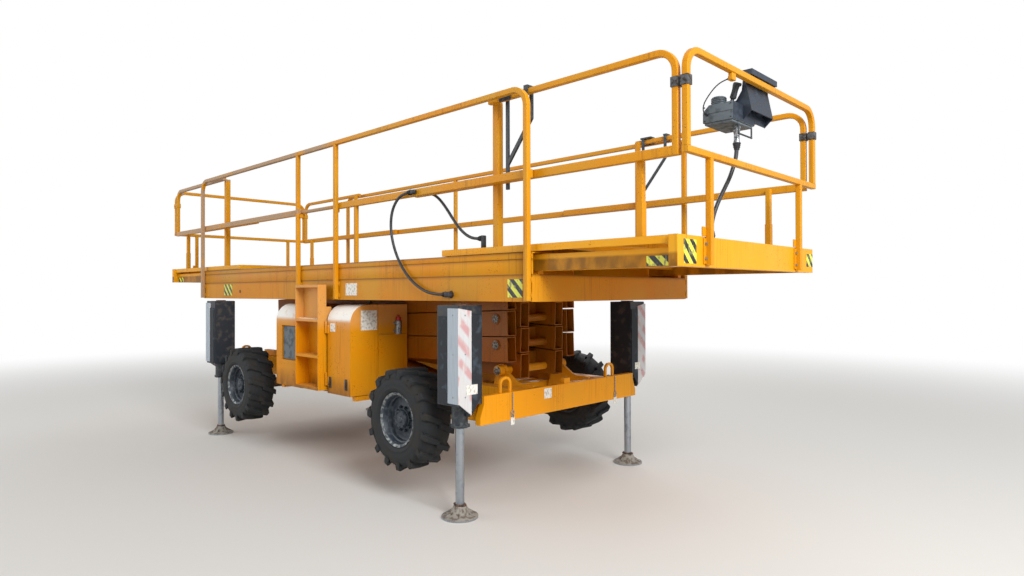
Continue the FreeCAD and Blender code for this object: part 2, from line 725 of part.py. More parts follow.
def place_stage(frame, stage, turn):
    angle = turn * (CLOSED_ANGLE - SKEW_ANGLE)
    middle_z = S.pivot_height + S.stage_pitch * (stage - 0.5)
    place(frame, MIDDLE_X, 0, middle_z, Rotation(Vector(0, 1, 0), angle.value), angle)


# Lift cylinder: its foot is pinned to the chassis and its eye lies between lugs on the lowest arms.
EYE_X = PIN_REACH - S.eye_reach * cosine(SKEW_ANGLE) - S.eye_drop * sine(SKEW_ANGLE)
EYE_Z = S.eye_reach * sine(SKEW_ANGLE) - S.pin_offset - S.eye_drop * cosine(SKEW_ANGLE)
LIFT_X = S.foot_pin_x - (S.pivot_x - S.eye_reach * cosine(CLOSED_ANGLE) - S.eye_drop * sine(CLOSED_ANGLE))
LIFT_Z = (S.pivot_height + S.eye_reach * sine(CLOSED_ANGLE) - S.eye_drop * cosine(CLOSED_ANGLE)) - S.foot_pin_z
LIFT_ANGLE = arc_tangent(LIFT_Z / LIFT_X)
LIFT_LENGTH = root(LIFT_X * LIFT_X + LIFT_Z * LIFT_Z)


def cylinder_lugs():
    tube_z = EYE_Z + S.eye_radius + 50
    pieces = [rod("Y", 44, (EYE_X, tube_z), (-S.inner_arm - 4, S.inner_arm + 4))]
    for side in BOTH:
        corners = [(EYE_X - 60, EYE_Z - 60), (EYE_X + 60, EYE_Z - 60),
                   (EYE_X + 60, tube_z), (EYE_X - 60, tube_z)]
        ear = sided(side, S.eye_width / 2 + 4, S.eye_width / 2 + 18)
        pieces.append(plate("XZ", corners, ear, [(50, [0, 1])]))
        head = sided(side, S.eye_width / 2 + 17, S.eye_width / 2 + 30)
        pieces.append(rod("Y", 30, (EYE_X, EYE_Z), head))
    return pieces


def lift_cylinder():
    half = S.eye_width / 2
    neck, floor = S.eye_radius + 40, S.eye_radius + 52
    barrel = [bar("X", S.barrel_radius, (0, 0), (-S.barrel_length, -neck))]
    barrel.append(block((-neck - 1, 0), (-half, half), (-45, 45)))
    barrel.append(bar("Y", S.eye_radius, (0, 0), (-half, half)))
    holes = [bar("X", S.barrel_radius - 10, (0, 0), (60 - S.barrel_length, -floor)),
             bar("X", S.ram_radius + S.seat_gap, (0, 0), (-S.barrel_length - 1, -floor)),
             bar("Y", 25 + S.seat_gap, (0, 0), (-half - 1, half + 1))]
    piston = floor + 8
    ram = [bar("X", S.ram_radius, (0, 0), (-LIFT_LENGTH, -piston)),
           bar("X", S.barrel_radius - 10 - S.seat_gap, (0, 0), (-piston - 46, -piston)),
           bar("Y", S.eye_radius, (-LIFT_LENGTH, 0), (-half, half))]
    for node, solid in (("cylinder_barrel", cut(fused(barrel), holes)), ("cylinder_rod", fused(ram))):
        place(solid, S.foot_pin_x, 0, S.foot_pin_z, Rotation(Vector(0, 1, 0), LIFT_ANGLE.value), LIFT_ANGLE)
        sub_part(solid, node)


# Platform frame: side and end beams, inner rails with the top pin's seats and roller tracks, joists.
def platform_frame():
    half, side_y = S.deck_half, S.deck_side
    bottom, top = S.beam_bottom, S.beam_top
    track = S.outer_arm + S.arm_width + 8
    web = (track + S.roller_width + 10, track + S.roller_width + 24)
    pin_z = S.pivot_height + S.stage_pitch * 3
    between = half - S.beam_width
    pieces = []
    for side in BOTH:
        pieces.append(block((-half, half), sided(side, side_y - S.beam_width, side_y), (bottom, top)))
        pieces.append(block((-half, half), sided(side, side_y - S.channel_wall, side_y),
                            (top, S.deck_top - S.deck_plate)))
        pieces.append(block((-between, between), sided(side, web[0], web[1]), (bottom, S.channel_top)))
        flange_top = pin_z - S.roller_radius - S.seat_gap
        pieces.append(block((-half + 60, 60), sided(side, track, web[0]), (bottom, flange_top)))
        pieces.append(block((-half + 60, 60), sided(side, track, web[0]),
                            (pin_z + S.roller_radius + S.clearance, pin_z + S.roller_radius + 17)))
        for x in (-2200, -1100, 0, 1100, 2200):
            pieces.append(block((x - 30, x + 30), sided(side, web[1], side_y - S.beam_width),
                                (top - 130, top)))
            pieces.append(block((x - 40, x + 40), sided(side, S.slide_inner + 20, S.slide_outer - 10),
                                (top, S.slide_bottom - S.seat_gap)))
    for index in range(9):
        x = (index - 4) * (half - 60) / 4
        reach = S.slide_inner - 20
        pieces.append(block((x - 25, x + 25), (-reach, reach), (S.deck_top - 80, S.deck_top - S.deck_plate)))
    holes = [bar("Y", S.pin_radius + S.seat_gap, (S.pivot_x, pin_z), sided(side, track - 1, web[1] + 1))
             for side in BOTH]
    sub_part(cut(fused(pieces), holes), "platform_frame")


# The beams across the ends of the fixed platform, with the pads that the extensions slide on.
def platform_ends():
    half, across = S.deck_half, S.deck_side - S.beam_width
    ends = []
    for end in BOTH:
        pieces = [block(sided(end, half - S.beam_width, half), (-across, across), (S.beam_bottom, S.beam_top))]
        for side in BOTH:
            pieces.append(block(sided(end, half - 55, half - 5),
                                sided(side, S.slide_inner + 20, S.slide_outer - 10),
                                (S.beam_top, S.slide_bottom - S.seat_gap)))
        ends.append(fused(pieces))
    sub_part(grouped(ends), "platform_ends")


def main_deck():
    pieces = [block((-S.deck_half, S.deck_half), (-S.deck_side, S.deck_side),
                    (S.deck_top - S.deck_plate, S.deck_top))]
    for end in BOTH:
        for side in BOTH:
            for x in (S.extension_inner + 60, S.deck_half - 120):
                pieces.append(block(sided(end, x, x + 60), sided(side, 960, 1000),
                                    (S.deck_top - 1, S.extension_top - 50 - S.seat_gap)))
    notch = block((S.stand_x - S.seat_gap, S.stand_x + S.stand + S.seat_gap),
                  (-S.deck_side - 1, 9 + S.stand + S.seat_gap - S.deck_side),
                  (S.deck_top - S.deck_plate - 1, S.deck_top + 1))
    sub_part(cut(fused(pieces), [notch]), "main_deck")


# Fixed side rails: tubes with rounded corners, clamped to the outer faces of the side beams.
def side_rails():
    r, turn, top = S.rail_tube, S.rail_bend, S.rail_height
    for name, side in SIDES.items():
        y = side * S.rail_y
        reach = S.end_post - turn
        pieces = [rod("X", r, (y, top), (-reach, reach))]
        for end in BOTH:
            x = end * S.end_post
            pieces.append(rod("Z", r, (x, y), (S.post_bottom, top - turn)))
            pieces.append(bend("XZ", 0 if end > 0 else 1, turn, r, (end * reach, y, top - turn)))
            pieces.append(rod("Z", r, (end * S.entry_post, y), (S.post_bottom, top)))
            for x in (end * S.end_post, end * S.entry_post):
                for z in (S.post_bottom + 20, S.beam_top - 60):
                    pieces.append(block((x - 20, x + 20), sided(side, S.deck_side, S.rail_y), (z, z + 40)))
            inner_end = -S.entry_post if side > 0 else S.entry_post
            mid_x = sided(end, inner_end, S.end_post)
            pieces.append(block(mid_x, sided(side, S.rail_y - 64, S.rail_y - 22),
                                (S.mid_height - 30, S.mid_height + 30)))
        if name == "near":
            pieces.append(block((S.stand_x, S.stand_x + S.stand),
                                sided(side, S.deck_side - 9 - S.stand, S.deck_side - 9),
                                (S.deck_top - S.deck_plate, S.mid_height - 30)))
            for x in (S.entry_post - 50, -S.entry_post + 10):
                pieces.append(block((x, x + 40), sided(side, S.rail_y - 50, S.rail_y),
                                    (S.mid_height - 62, S.mid_height - 24)))
            pieces.append(bar("Z", 8, (S.entry_post - 40, y + 35), (S.mid_height - 40, S.mid_height + 30)))
        sub_part(fused(pieces), f"side_rail_{name}")


def entry_bar():
    y = 35 - S.rail_y
    hinge_x = S.entry_post - 40
    low = S.mid_height - 24 + S.seat_gap
    pieces = [rod("X", 18, (y, low + 20), (-S.entry_post + 30, hinge_x))]
    pieces.append(bar("Z", 20, (hinge_x, y), (low, low + 40)))
    solid = cut(fused(pieces), [bar("Z", 8 + S.seat_gap, (hinge_x, y), (low - 1, low + 41))])
    sub_part(solid, "entry_bar")


# Extension decks: a plate over the fixed deck, side beams that run inside it, and an end beam.
def extension_decks():
    for name, end in ENDS.items():
        inner, outer = S.extension_inner, S.extension_end - S.beam_width
        skirt = S.extension_top - 50
        pieces = [block(sided(end, inner, outer), (-S.extension_side, S.extension_side),
                        (S.extension_top - S.deck_plate, S.extension_top))]
        pieces.append(block(sided(end, inner, inner + 12), (-S.extension_side, S.extension_side),
                            (skirt, S.extension_top)))
        pieces.append(block(sided(end, outer, S.extension_end), (-S.deck_side, S.deck_side),
                            (S.slide_bottom, S.extension_top)))
        for side in BOTH:
            pieces.append(block(sided(end, inner, outer), sided(side, S.extension_side - 12, S.extension_side),
                                (skirt, S.extension_top)))
            pieces.append(block(sided(end, S.slide_end, outer), sided(side, S.slide_inner, S.slide_outer),
                                (S.slide_bottom, S.slide_top)))
        for index in range(4):
            x = inner + (outer - inner) * (index + 1) / 5
            pieces.append(block(sided(end, x - 20, x + 20), (12 - S.extension_side, S.extension_side - 12),
                                (skirt + 6, S.extension_top - S.deck_plate)))
        pieces.append(block(sided(end, inner + 20, outer - 90), (-S.floor_half, S.floor_half),
                            (S.extension_top - 1, S.extension_top + S.floor_panel)))
        sub_part(fused(pieces), f"extension_deck_{name}")


# Extension rails: square posts, side rails and an end rail with rounded corners.
def extension_rails():
    r, turn, top, mid = S.rail_tube, S.rail_bend, S.rail_height, S.mid_height
    for name, end in ENDS.items():
        pieces = []
        end_x = S.extension_end - 42
        front_x = S.extension_end + r
        for side in BOTH:
            y = side * S.slide_rail_y
            pieces.append(rod("X", r, (y, top), sided(end, S.near_post_x - 35, end_x - turn)))
            pieces.append(bend("XZ", 0 if end > 0 else 1, turn, r, (end * (end_x - turn), y, top - turn)))
            pieces.append(rod("Z", r, (end * end_x, y), (mid - 25, top - turn)))
            pieces.append(block(sided(end, S.extension_inner - 385, end_x + 20),
                                sided(side, S.slide_rail_y - 22, S.slide_rail_y + 18), (mid - 30, mid + 30)))
            post_y = sided(side, S.slide_rail_y - 22 - S.big_post, S.slide_rail_y - 22)
            for x, post_top in ((S.near_post_x, top), (S.far_post_x, mid + 30)):
                half = S.big_post / 2
                pieces.append(block(sided(end, x - half, x + half), post_y, (S.extension_top, post_top)))
            # The end rail stands off the side rail and is clamped to it.
            clamp = sided(side, S.slide_rail_y - 32, S.slide_rail_y + 32)
            pieces.append(block(sided(end, end_x - 30, front_x + 30), clamp, (top - 215, top - 180)))
            pieces.append(rod("Z", r, (end * front_x, y), (mid, top - turn)))
            quarter = 0 if side > 0 else 1
            pieces.append(bend("YZ", quarter, turn, r, (end * front_x, y - side * turn, top - turn)))
            leg = (end * front_x, side * S.end_leg_y)
            pieces.append(rod("Z", r, leg, (S.slide_bottom + 12, mid)))
            foot = sided(side, S.end_leg_y - 45, S.end_leg_y + 45)
            pieces.append(block(sided(end, S.extension_end, S.extension_end + 10), foot,
                                (S.slide_bottom + 20, S.extension_top - 10)))
        reach = S.slide_rail_y - turn
        pieces.append(rod("Y", r, (end * front_x, top), (-reach, reach)))
        reach = S.slide_rail_y
        pieces.append(rod("Y", r, (end * front_x, mid), (-reach, reach)))
        sub_part(fused(pieces), f"extension_rail_{name}")


# Side covers: a cabinet each side of the scissor arms, with one hinged hood.
def cover_section(side, wall_y, low, inset):
    face, high = S.cover_outer - inset, S.cover_top - inset
    corners = [(side * wall_y, low), (side * face, low), (side * face, high), (side * wall_y, high)]
    return corners, [(S.cover_round - inset, [2])]


def covers():
    sheet_metal = 16
    hood_left = {"near": S.ladder_right + 25, "far": 260 - S.cover_left}
    for name, side in SIDES.items():
        start = hood_left[name]
        corners, rounds = cover_section(side, S.cover_inner, S.cover_bottom, 0)
        left_end = -S.ladder_left - 10 if name == "near" else start
        pieces = [plate("YZ", corners, (-S.cover_left, left_end), rounds)]
        if name == "near":
            pieces.append(block((left_end, start), sided(side, S.cover_inner, S.cover_outer - 60),
                                (S.cover_bottom, S.cover_top - 90)))
        pieces.append(block((start - 1, S.cover_right - 20), sided(side, S.cover_inner, S.cover_outer - 30),
                            (S.cover_bottom, S.cover_bottom + 20)))
        pieces += cabinet(side, start, sheet_metal)
        pin_x, pin_y = start - 7, S.cover_outer + S.hinge_pin + 1
        for z in (900, 1400):
            pieces.append(bar("Z", S.hinge_pin, (pin_x, side * pin_y), (z + S.seat_gap, z + 40)))
            pieces.append(block((pin_x - 6, pin_x), sided(side, S.cover_outer - 65, pin_y),
                                (z + S.seat_gap, z + 40)))
        body = fused(pieces)
        if name == "near":
            recess = block((-640, -330), sided(side, S.cover_outer - 30, S.cover_outer + 1), (1010, 1370))
            body = cut(body, [recess])
            panel = block((-630, -340), sided(side, S.cover_outer - 30, S.cover_outer - 14), (1020, 1360))
            sub_part(panel, "control_panel")
        sub_part(body, f"cover_{name}")
        hood(name, side, start)
    engine = block((-380, 330), (S.cover_inner + 50, S.cover_outer - 110), (S.cover_bottom + 20, 1360))
    sub_part(fused([engine, bar("X", 150, (S.cover_inner + 200, 1060), (329, 400))]), "engine_block")
    tank = block((S.ladder_right + 90, S.cover_right - 70), (110 - S.cover_outer, -S.cover_inner - 40),
                 (S.cover_bottom + 20, 1340))
    sub_part(fused([tank, bar("Z", 40, (450, -S.cover_inner - 150), (1339, 1380))]), "oil_tank")


def cabinet(side, start, sheet_metal):
    """The fixed sheets behind a hood; near the end they reach in to the arms, over the chassis rail."""
    top, end = S.cover_top, S.cover_right
    inner, seam, rail_top = S.cabinet_inner, S.hood_inner - S.clearance, S.chassis_top + S.clearance
    step_x = 200
    return [block((end - sheet_metal, end), sided(side, inner, seam), (rail_top, top)),
            block((end - sheet_metal, end), sided(side, S.cover_inner, seam), (S.cover_bottom, rail_top + 1)),
            block((start - 1, end), sided(side, S.cover_inner, seam), (top - sheet_metal, top)),
            block((start - 1, end), sided(side, S.cover_inner, S.cover_inner + sheet_metal),
                  (S.cover_bottom, rail_top + sheet_metal)),
            block((start - 1, step_x), sided(side, S.cover_inner, S.cover_inner + sheet_metal),
                  (rail_top, top)) if start.value < step_x else
            block((start - 1, start + sheet_metal), sided(side, inner, S.cover_inner + 1), (rail_top, top)),
            block((max(step_x, start.value - 1), end), sided(side, inner, inner + sheet_metal), (rail_top, top)),
            block((max(step_x, start.value - 1), end), sided(side, inner, S.cover_inner + 1),
                  (rail_top, rail_top + sheet_metal)),
            block((max(step_x, start.value - 1), end), sided(side, inner, S.cover_inner + 1),
                  (top - sheet_metal, top)),
            block((step_x, step_x + sheet_metal), sided(side, inner, S.cover_inner + 1),
                  (rail_top, top)) if start.value < step_x else
            block((start - 1, start + sheet_metal), sided(side, S.cover_inner, S.cover_inner + sheet_metal),
                  (S.cover_bottom, top))]


def hood(name, side, start):
    """A folded shell, open towards the cabinet and below, on two hinge barrels at its left edge."""
    wall = 6
    left, right = start + S.clearance, S.cover_right
    corners, rounds = cover_section(side, S.hood_inner, S.cover_bottom + S.clearance, 0)
    shell = plate("YZ", corners, (left, right), rounds)
    corners, rounds = cover_section(side, S.hood_inner - 1, S.cover_bottom, wall)
    room = plate("YZ", corners, (left - 1, right - wall), rounds)
    pieces = [cut(shell, [room])]
    pin_x, pin_y = start - 7, S.cover_outer + S.hinge_pin + 1
    for z in (820, 1320):
        pieces.append(bar("Z", S.hinge_pin, (pin_x, side * pin_y), (z, z + 80)))
        pieces.append(block((pin_x, left + 30), sided(side, S.cover_outer + 1, pin_y), (z, z + 80)))
        pieces.append(block((left, left + 30), sided(side, S.cover_outer - 1, pin_y), (z, z + 80)))
    sub_part(fused(pieces), f"hood_{name}")


# Ladder: folded side plates, a back plate and boxed treads.
def ladder():
    left, right, face, t = -S.ladder_left, S.ladder_right, S.ladder_face, S.ladder_plate
    back = S.cover_outer - 60
    upper_back = S.rail_y + S.rail_tube + S.clearance + 5
    step_top, low = 1790, 770
    pieces = []
    for x in ((left, left + t), (right - t, right)):
        pieces.append(block(x, (-face, -back), (low, S.cover_top - 20)))
        pieces.append(block(x, (-face, -upper_back), (low, step_top)))
    pieces.append(block((left, right), (-back - 5, -back), (low, S.cover_top - 90)))
    for z in (low, 1080, 1430):
        pieces.append(block((left, right), (-face, -back), (z, z + 28)))
    pieces.append(block((left, right), (-face, -upper_back), (step_top - 28, step_top)))
    pieces.append(block((left, right), (-upper_back - 6, -upper_back), (1440, step_top)))
    sub_part(fused(pieces), "ladder")


# Platform controls: a box with its lever, hung inside the front end rail by a hood that hooks over it.
def control_box():
    rail_x, top = S.extension_end + S.rail_tube, S.rail_height
    box_top, box_bottom = top - 159, top - 279
    lever_x = rail_x - 124
    pieces = [block((rail_x - 274, rail_x - 54), (-280, 50), (box_bottom, box_top)),
              block((rail_x - 264, rail_x - 64), (-270, 40), (box_bottom - 15, box_bottom)),
              rod("Z", 48, (rail_x - 204, -180), (box_top - 1, box_top + 60)),
              rod("Z", 9, (lever_x, -165), (box_top - 1, box_top + 70)),
              rod("Z", 24, (lever_x, -165), (box_top + 65, box_top + 185)),
              rod("Z", 20, (rail_x - 104, -120), (box_bottom - 70, box_bottom - 15)),
              rod("Z", 17, (rail_x - 104, -120), (box_bottom - 133, box_bottom - 70)),
              rod("Y", 10, (rail_x - 239, top - 224), (-300, -280)),
              rod("Y", 4, (rail_x - 69, box_bottom - 80), (-169, 39))]
    for y in (-165, 35):
        pieces.append(rod("Z", 4, (rail_x - 69, y), (box_bottom - 84, box_bottom - 15)))
    sub_part(fused(pieces), "control_box")
    gap = S.seat_gap
    side_sheet = [(rail_x - 50, top + 45), (rail_x - 28, top + 45), (rail_x - 28, top - 30),
                  (rail_x + 8, top - 205), (rail_x - 54 + gap, box_bottom + 17), (rail_x - 54 + gap, box_top + gap),
                  (rail_x - 190, box_top + gap), (rail_x - 100, top - 120), (rail_x - 62, top - 60)]
    front_sheet = [(rail_x - 34, top + 45), (rail_x - 28, top + 45), (rail_x - 28, top - 30),
                   (rail_x + 8, top - 205), (rail_x + 2, top - 207), (rail_x - 34, top - 32)]
    hood = [plate("XZ", side_sheet, span) for span in ((-130, -124), (214, 220))]
    hood.append(plate("XZ", front_sheet, (-124.5, 214.5)))
    hood.append(block((rail_x - 50, rail_x + 30), (-170, 240), (top + S.rail_tube + gap, top + 62)))
    sub_part(fused(hood), "control_hood")


# Hook bracket: two flat bars with a brace between them, hooked over the near top rail of the extension.
def rail_hook():
    inner, outer, top = S.slide_rail_y - S.rail_tube - S.seat_gap, S.slide_rail_y + S.rail_tube + S.seat_gap, S.rail_height
    bars = [(2547, top - 674), (2573, top - 674), (2573, top - 494), (2812, top - 189), (2812, top + 26),
            (2786, top + 26), (2786, top - 177), (2573, top - 449), (2573, top + 26), (2547, top + 26)]
    pieces = [plate("XZ", bars, (-inner, 18 - inner))]
    over = top + S.rail_tube + S.seat_gap
    for low, high in ((2532, 2650), (2780, 2818)):
        pieces.append(block((low, high), (-outer - 6, 18 - inner), (over, over + 17)))
        pieces.append(block((low, high), (-outer - 6, -outer), (top - 29, over + 17)))
    sub_part(fused(pieces), "rail_hook")


# Cables: straight runs joined by tangent arcs, each arc as large as its two runs allow. Metres.
CABLES = {
    "loop_cable": (0.012, [(2.000, -1.085, 1.695), (1.850, -1.085, 1.695), (1.690, -1.085, 1.735),
                           (1.535, -1.085, 1.820), (1.405, -1.085, 1.945), (1.310, -1.085, 2.095),
                           (1.262, -1.085, 2.255), (1.275, -1.085, 2.400), (1.345, -1.085, 2.500),
                           (1.445, -1.085, 2.549), (1.550, -1.085, 2.549)]),
    "drop_cable": (0.012, [(1.550, -0.945, 2.549), (1.640, -0.945, 2.549), (1.740, -0.945, 2.500),
                           (1.835, -0.945, 2.410), (1.930, -0.945, 2.300), (2.020, -0.945, 2.210),
                           (2.105, -0.945, 2.155), (2.195, -0.945, 2.130), (2.270, -0.945, 2.130)]),
    "box_cable": (0.014, [(3.950, -0.120, 2.737), (3.950, -0.120, 2.665), (3.944, -0.150, 2.580),
                          (3.936, -0.205, 2.480), (3.926, -0.285, 2.380), (3.918, -0.350, 2.290),
                          (3.912, -0.395, 2.205), (3.910, -0.415, 2.133), (3.910, -0.415, 2.075)]),
    "rail_cable": (0.004, [(3.815, -0.3008, 2.925), (3.818, -0.345, 2.930), (3.835, -0.372, 2.975),
                           (3.880, -0.384, 3.025), (3.930, -0.396, 3.065), (3.985, -0.402, 3.092),
                           (4.033, -0.398, 3.100)]),
}


CABLE_SIDES = 8


def cables():
    sides = range(CABLE_SIDES)
    for node, (radius, route) in CABLES.items():
        radius = radius * 1000
        points = [Vector(*spot) * 1000 for spot in route]
        # A section of eight sides with the round cable's area.
        spread = radius * math.sqrt(2 * math.pi / (CABLE_SIDES * math.sin(2 * math.pi / CABLE_SIDES)))
        first = points[1] - points[0]
        level = Rotation(Vector(0, 0, 1), first)
        section = [points[0] + level.multVec(Rotation(Vector(0, 0, 1), 360 * side / CABLE_SIDES).multVec(
            Vector(spread, 0, 0))) for side in sides]
        stretches = []
        bends = []
        length = 0
        here = points[0]
        for before, corner, after in zip(points, points[1:], points[2:]):
            into, out = corner - before, after - corner
            half = into.getAngle(out) / 2
            reach = 0.45 * min(into.Length, out.Length)
            arc_radius = reach / math.tan(half)
            bends.append(round(arc_radius))
            into.normalize()
            out.normalize()
            run = corner - into * reach - here
            stretches.append(Part.Face(Part.makePolygon(section + section[:1])).extrude(run))
            section = [spot + run for spot in section]
            normal = into.cross(out).normalize()
            centre = here + run + normal.cross(into) * arc_radius
            face = Part.Face(Part.makePolygon(section + section[:1]))
            stretches.append(face.revolve(centre, normal, math.degrees(2 * half)))
            turn = Rotation(normal, math.degrees(2 * half))
            section = [centre + turn.multVec(spot - centre) for spot in section]
            length += run.Length + 2 * half * arc_radius
            here = corner + out * reach
        last = points[-1] - here
        stretches.append(Part.Face(Part.makePolygon(section + section[:1])).extrude(last))
        length += last.Length
        tube = doc.addObject("Part::Feature", "Cable")
        tube.Shape = stretches[0].multiFuse(stretches[1:])
        sub_part(tube, node)
        print(node, "length", round(length), "volume over section x length",
              round(tube.Shape.Volume / (math.pi * radius ** 2 * length), 4), "radii", bends)


# What the cables come out of: an outlet on the platform's beam, clips on the rails and seats on the deck.
def cable_fittings():
    mid = S.mid_height
    rail_outer = S.rail_y - 22
    outlet = block((2000, 2060), (-S.deck_side - 60, -S.deck_side), (1670, 1720))
    clip = block((1550, 1600), (-rail_outer - 46, -rail_outer), (mid - 20, mid + 20))
    sub_part(grouped([outlet, clip]), "cable_entry")
    mid_inner = S.slide_rail_y - 22
    rail_x, top = S.extension_end + S.rail_tube, S.rail_height
    pieces = [block((1520, 1550), (-mid_inner, 43 - mid_inner), (mid - 20, mid + 20)),
              block((2270, 2300), (-965, -925), (S.extension_top, S.extension_top + 105)),
              rod("Z", 24, (3910, -415), (S.extension_top, S.extension_top + 25)),
              block((rail_x - 20, rail_x + 20), (-430, -370), (top - 69, top - S.rail_tube - S.seat_gap))]
    sub_part(grouped(pieces), "cable_fittings")


for make in (chassis_frame, pivot_brackets, end_beams, jack_housings, bumper_boards, axles, knuckles, wheels,
             jack_legs, lift_cylinder, platform_frame, platform_ends, main_deck, side_rails, entry_bar, extension_decks,
             extension_rails, covers, ladder, control_box, rail_hook, cables, cable_fittings):
    make()
for number in (1, 2, 3):
    inner_arms(number)
    outer_arms(number)

doc.recompute()
for thing in doc.Objects:
    if "Invalid" in thing.State or "Error" in thing.State:
        raise RuntimeError(f"{thing.Label} ({thing.Name}) did not build: {thing.State}")
faulty = [thing.Label for thing in SUB_PARTS if thing.Shape.isNull() or not thing.Shape.isValid()]
if faulty:
    raise RuntimeError(f"no valid shape: {faulty}")
os.makedirs("parts", exist_ok=True)
for thing in SUB_PARTS:
    thing.Shape.exportStep(os.path.join("parts", thing.Label + ".step"))
    print(thing.Label, len(thing.Shape.Solids), round(thing.Shape.Volume / 1e6, 2))
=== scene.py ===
import math
import bmesh
import bpy
from mathutils import Matrix, Vector

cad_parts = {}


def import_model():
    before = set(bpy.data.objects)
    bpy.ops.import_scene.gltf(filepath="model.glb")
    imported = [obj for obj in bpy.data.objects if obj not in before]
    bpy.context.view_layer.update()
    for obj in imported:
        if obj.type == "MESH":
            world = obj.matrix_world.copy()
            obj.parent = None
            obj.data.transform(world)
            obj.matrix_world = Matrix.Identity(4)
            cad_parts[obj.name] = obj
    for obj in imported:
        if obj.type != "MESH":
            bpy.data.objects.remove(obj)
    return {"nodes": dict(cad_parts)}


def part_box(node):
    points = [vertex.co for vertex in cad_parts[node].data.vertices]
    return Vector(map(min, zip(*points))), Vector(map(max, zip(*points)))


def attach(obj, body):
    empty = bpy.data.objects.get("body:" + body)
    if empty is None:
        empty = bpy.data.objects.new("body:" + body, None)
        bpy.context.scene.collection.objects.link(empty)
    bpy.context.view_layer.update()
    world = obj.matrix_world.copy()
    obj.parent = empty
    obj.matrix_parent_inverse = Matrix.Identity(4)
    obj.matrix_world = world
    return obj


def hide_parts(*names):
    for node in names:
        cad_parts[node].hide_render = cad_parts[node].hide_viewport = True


# The looks of a rough terrain scissor lift. Metres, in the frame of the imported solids: +X runs to the
# steered end, the near side is -Y, and the origin is on the ground between the four jack feet.

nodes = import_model()["nodes"]
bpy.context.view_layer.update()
scene = bpy.context.scene

SIDES = {"near": -1, "far": 1}
ENDS = {"front": 1, "rear": -1}
WHEEL_X, WHEEL_Y, AXLE_HEIGHT = 1.53, 1.087, 0.665
JACK_X, JACK_Y = 2.2, 1.12
POST_X, ENTRY_X, RAIL_FOOT = 2.866, 0.365, 1.65
RAIL_TOP, RAIL_MIDDLE, RAIL_SIDE, SLIDE_SIDE = 3.149, 2.549, 1.08, 0.99
PLATFORM_SIDE, BEAM_FACE = 1.055, 2.345
SMOOTH_ANGLE = 38


def placed(name, data):
    """A new object in the scene."""
    thing = bpy.data.objects.new(name, data)
    scene.collection.objects.link(thing)
    return thing


# Camera: fitted to the photograph's own straight edges.
def place_camera():
    yaw, pitch, roll = (math.radians(angle) for angle in (-44.0729, 0.3518, -0.1495))
    data = bpy.data.cameras.new("photo_camera")
    data.sensor_width = 36
    data.lens = 23.372
    data.clip_end = 200
    camera = placed("photo_camera", data)
    camera.matrix_world = (Matrix.Translation((6.0192, -4.4886, 1.7126)) @ Matrix.Rotation(-yaw, 4, "Z")
                           @ Matrix.Rotation(math.pi / 2 + pitch, 4, "X") @ Matrix.Rotation(roll, 4, "Z"))
    scene.camera = camera


place_camera()


# Materials. Each starts as one Principled shader; add() puts a node in front of it.
def linear(hex_colour):
    """The linear values of an sRGB hex colour."""
    parts = [int(hex_colour[i:i + 2], 16) / 255 for i in (0, 2, 4)]
    return [((part + 0.055) / 1.055) ** 2.4 if part > 0.04045 else part / 12.92 for part in parts] + [1.0]


def add(tree, kind, inputs=None, **settings):
    """One node with its inputs and settings; an input is a value, a hex colour, a socket or a node."""
    node = tree.nodes.new("ShaderNode" + kind)
    for name, value in settings.items():
        setattr(node, name, value)
    for name, value in (inputs or {}).items():
        if isinstance(value, bpy.types.Node):
            value = value.outputs[0]
        if isinstance(value, bpy.types.NodeSocket):
            tree.links.new(value, node.inputs[name])
        elif isinstance(value, str):
            node.inputs[name].default_value = linear(value)
        else:
            node.inputs[name].default_value = value
    return node


def started(name, **constants):
    """A new material, its tree and its shader with the constants set on it."""
    material = bpy.data.materials.new(name)
    material.use_nodes = True
    tree = material.node_tree
    shader = tree.nodes["Principled BSDF"]
    for socket, value in constants.items():
        value = linear(value) if isinstance(value, str) else value
        shader.inputs[socket.replace("_", " ")].default_value = value
    return material, tree, shader


def mixed(tree, share, under, over):
    return add(tree, "Mix", {0: share, 6: under, 7: over}, data_type="RGBA").outputs[2]


def calc(tree, operation, *values):
    """One sum on values or sockets."""
    return add(tree, "Math", dict(enumerate(values)), operation=operation)


def times(tree, product, *factors):
    for factor in factors:
        product = calc(tree, "MULTIPLY", product, factor)
    return product


def ramp(tree, value, low, high):
    """From 0 where the value is low to 1 where it is high."""
    return add(tree, "MapRange", {0: value, 1: low, 2: high})


def position(tree):
    """The place on the object, whole and as x, y and z."""
    place = add(tree, "TexCoord").outputs["Object"]
    return place, *add(tree, "SeparateXYZ", {0: place}).outputs


def facing(tree):
    """The surface's direction, as x, y and z."""
    return add(tree, "SeparateXYZ", {0: add(tree, "NewGeometry").outputs["Normal"]}).outputs


def patches(tree, place, size_mm, low, high, stretch=(1, 1, 1), detail=3):
    """Irregular patches about size_mm across, from 0 where the noise is under low to 1 over high."""
    spread = add(tree, "Mapping", {"Vector": place, "Scale": stretch})
    noise = add(tree, "TexNoise", {"Vector": spread, "Scale": 1000 / size_mm, "Detail": detail})
    return ramp(tree, noise, low, high)


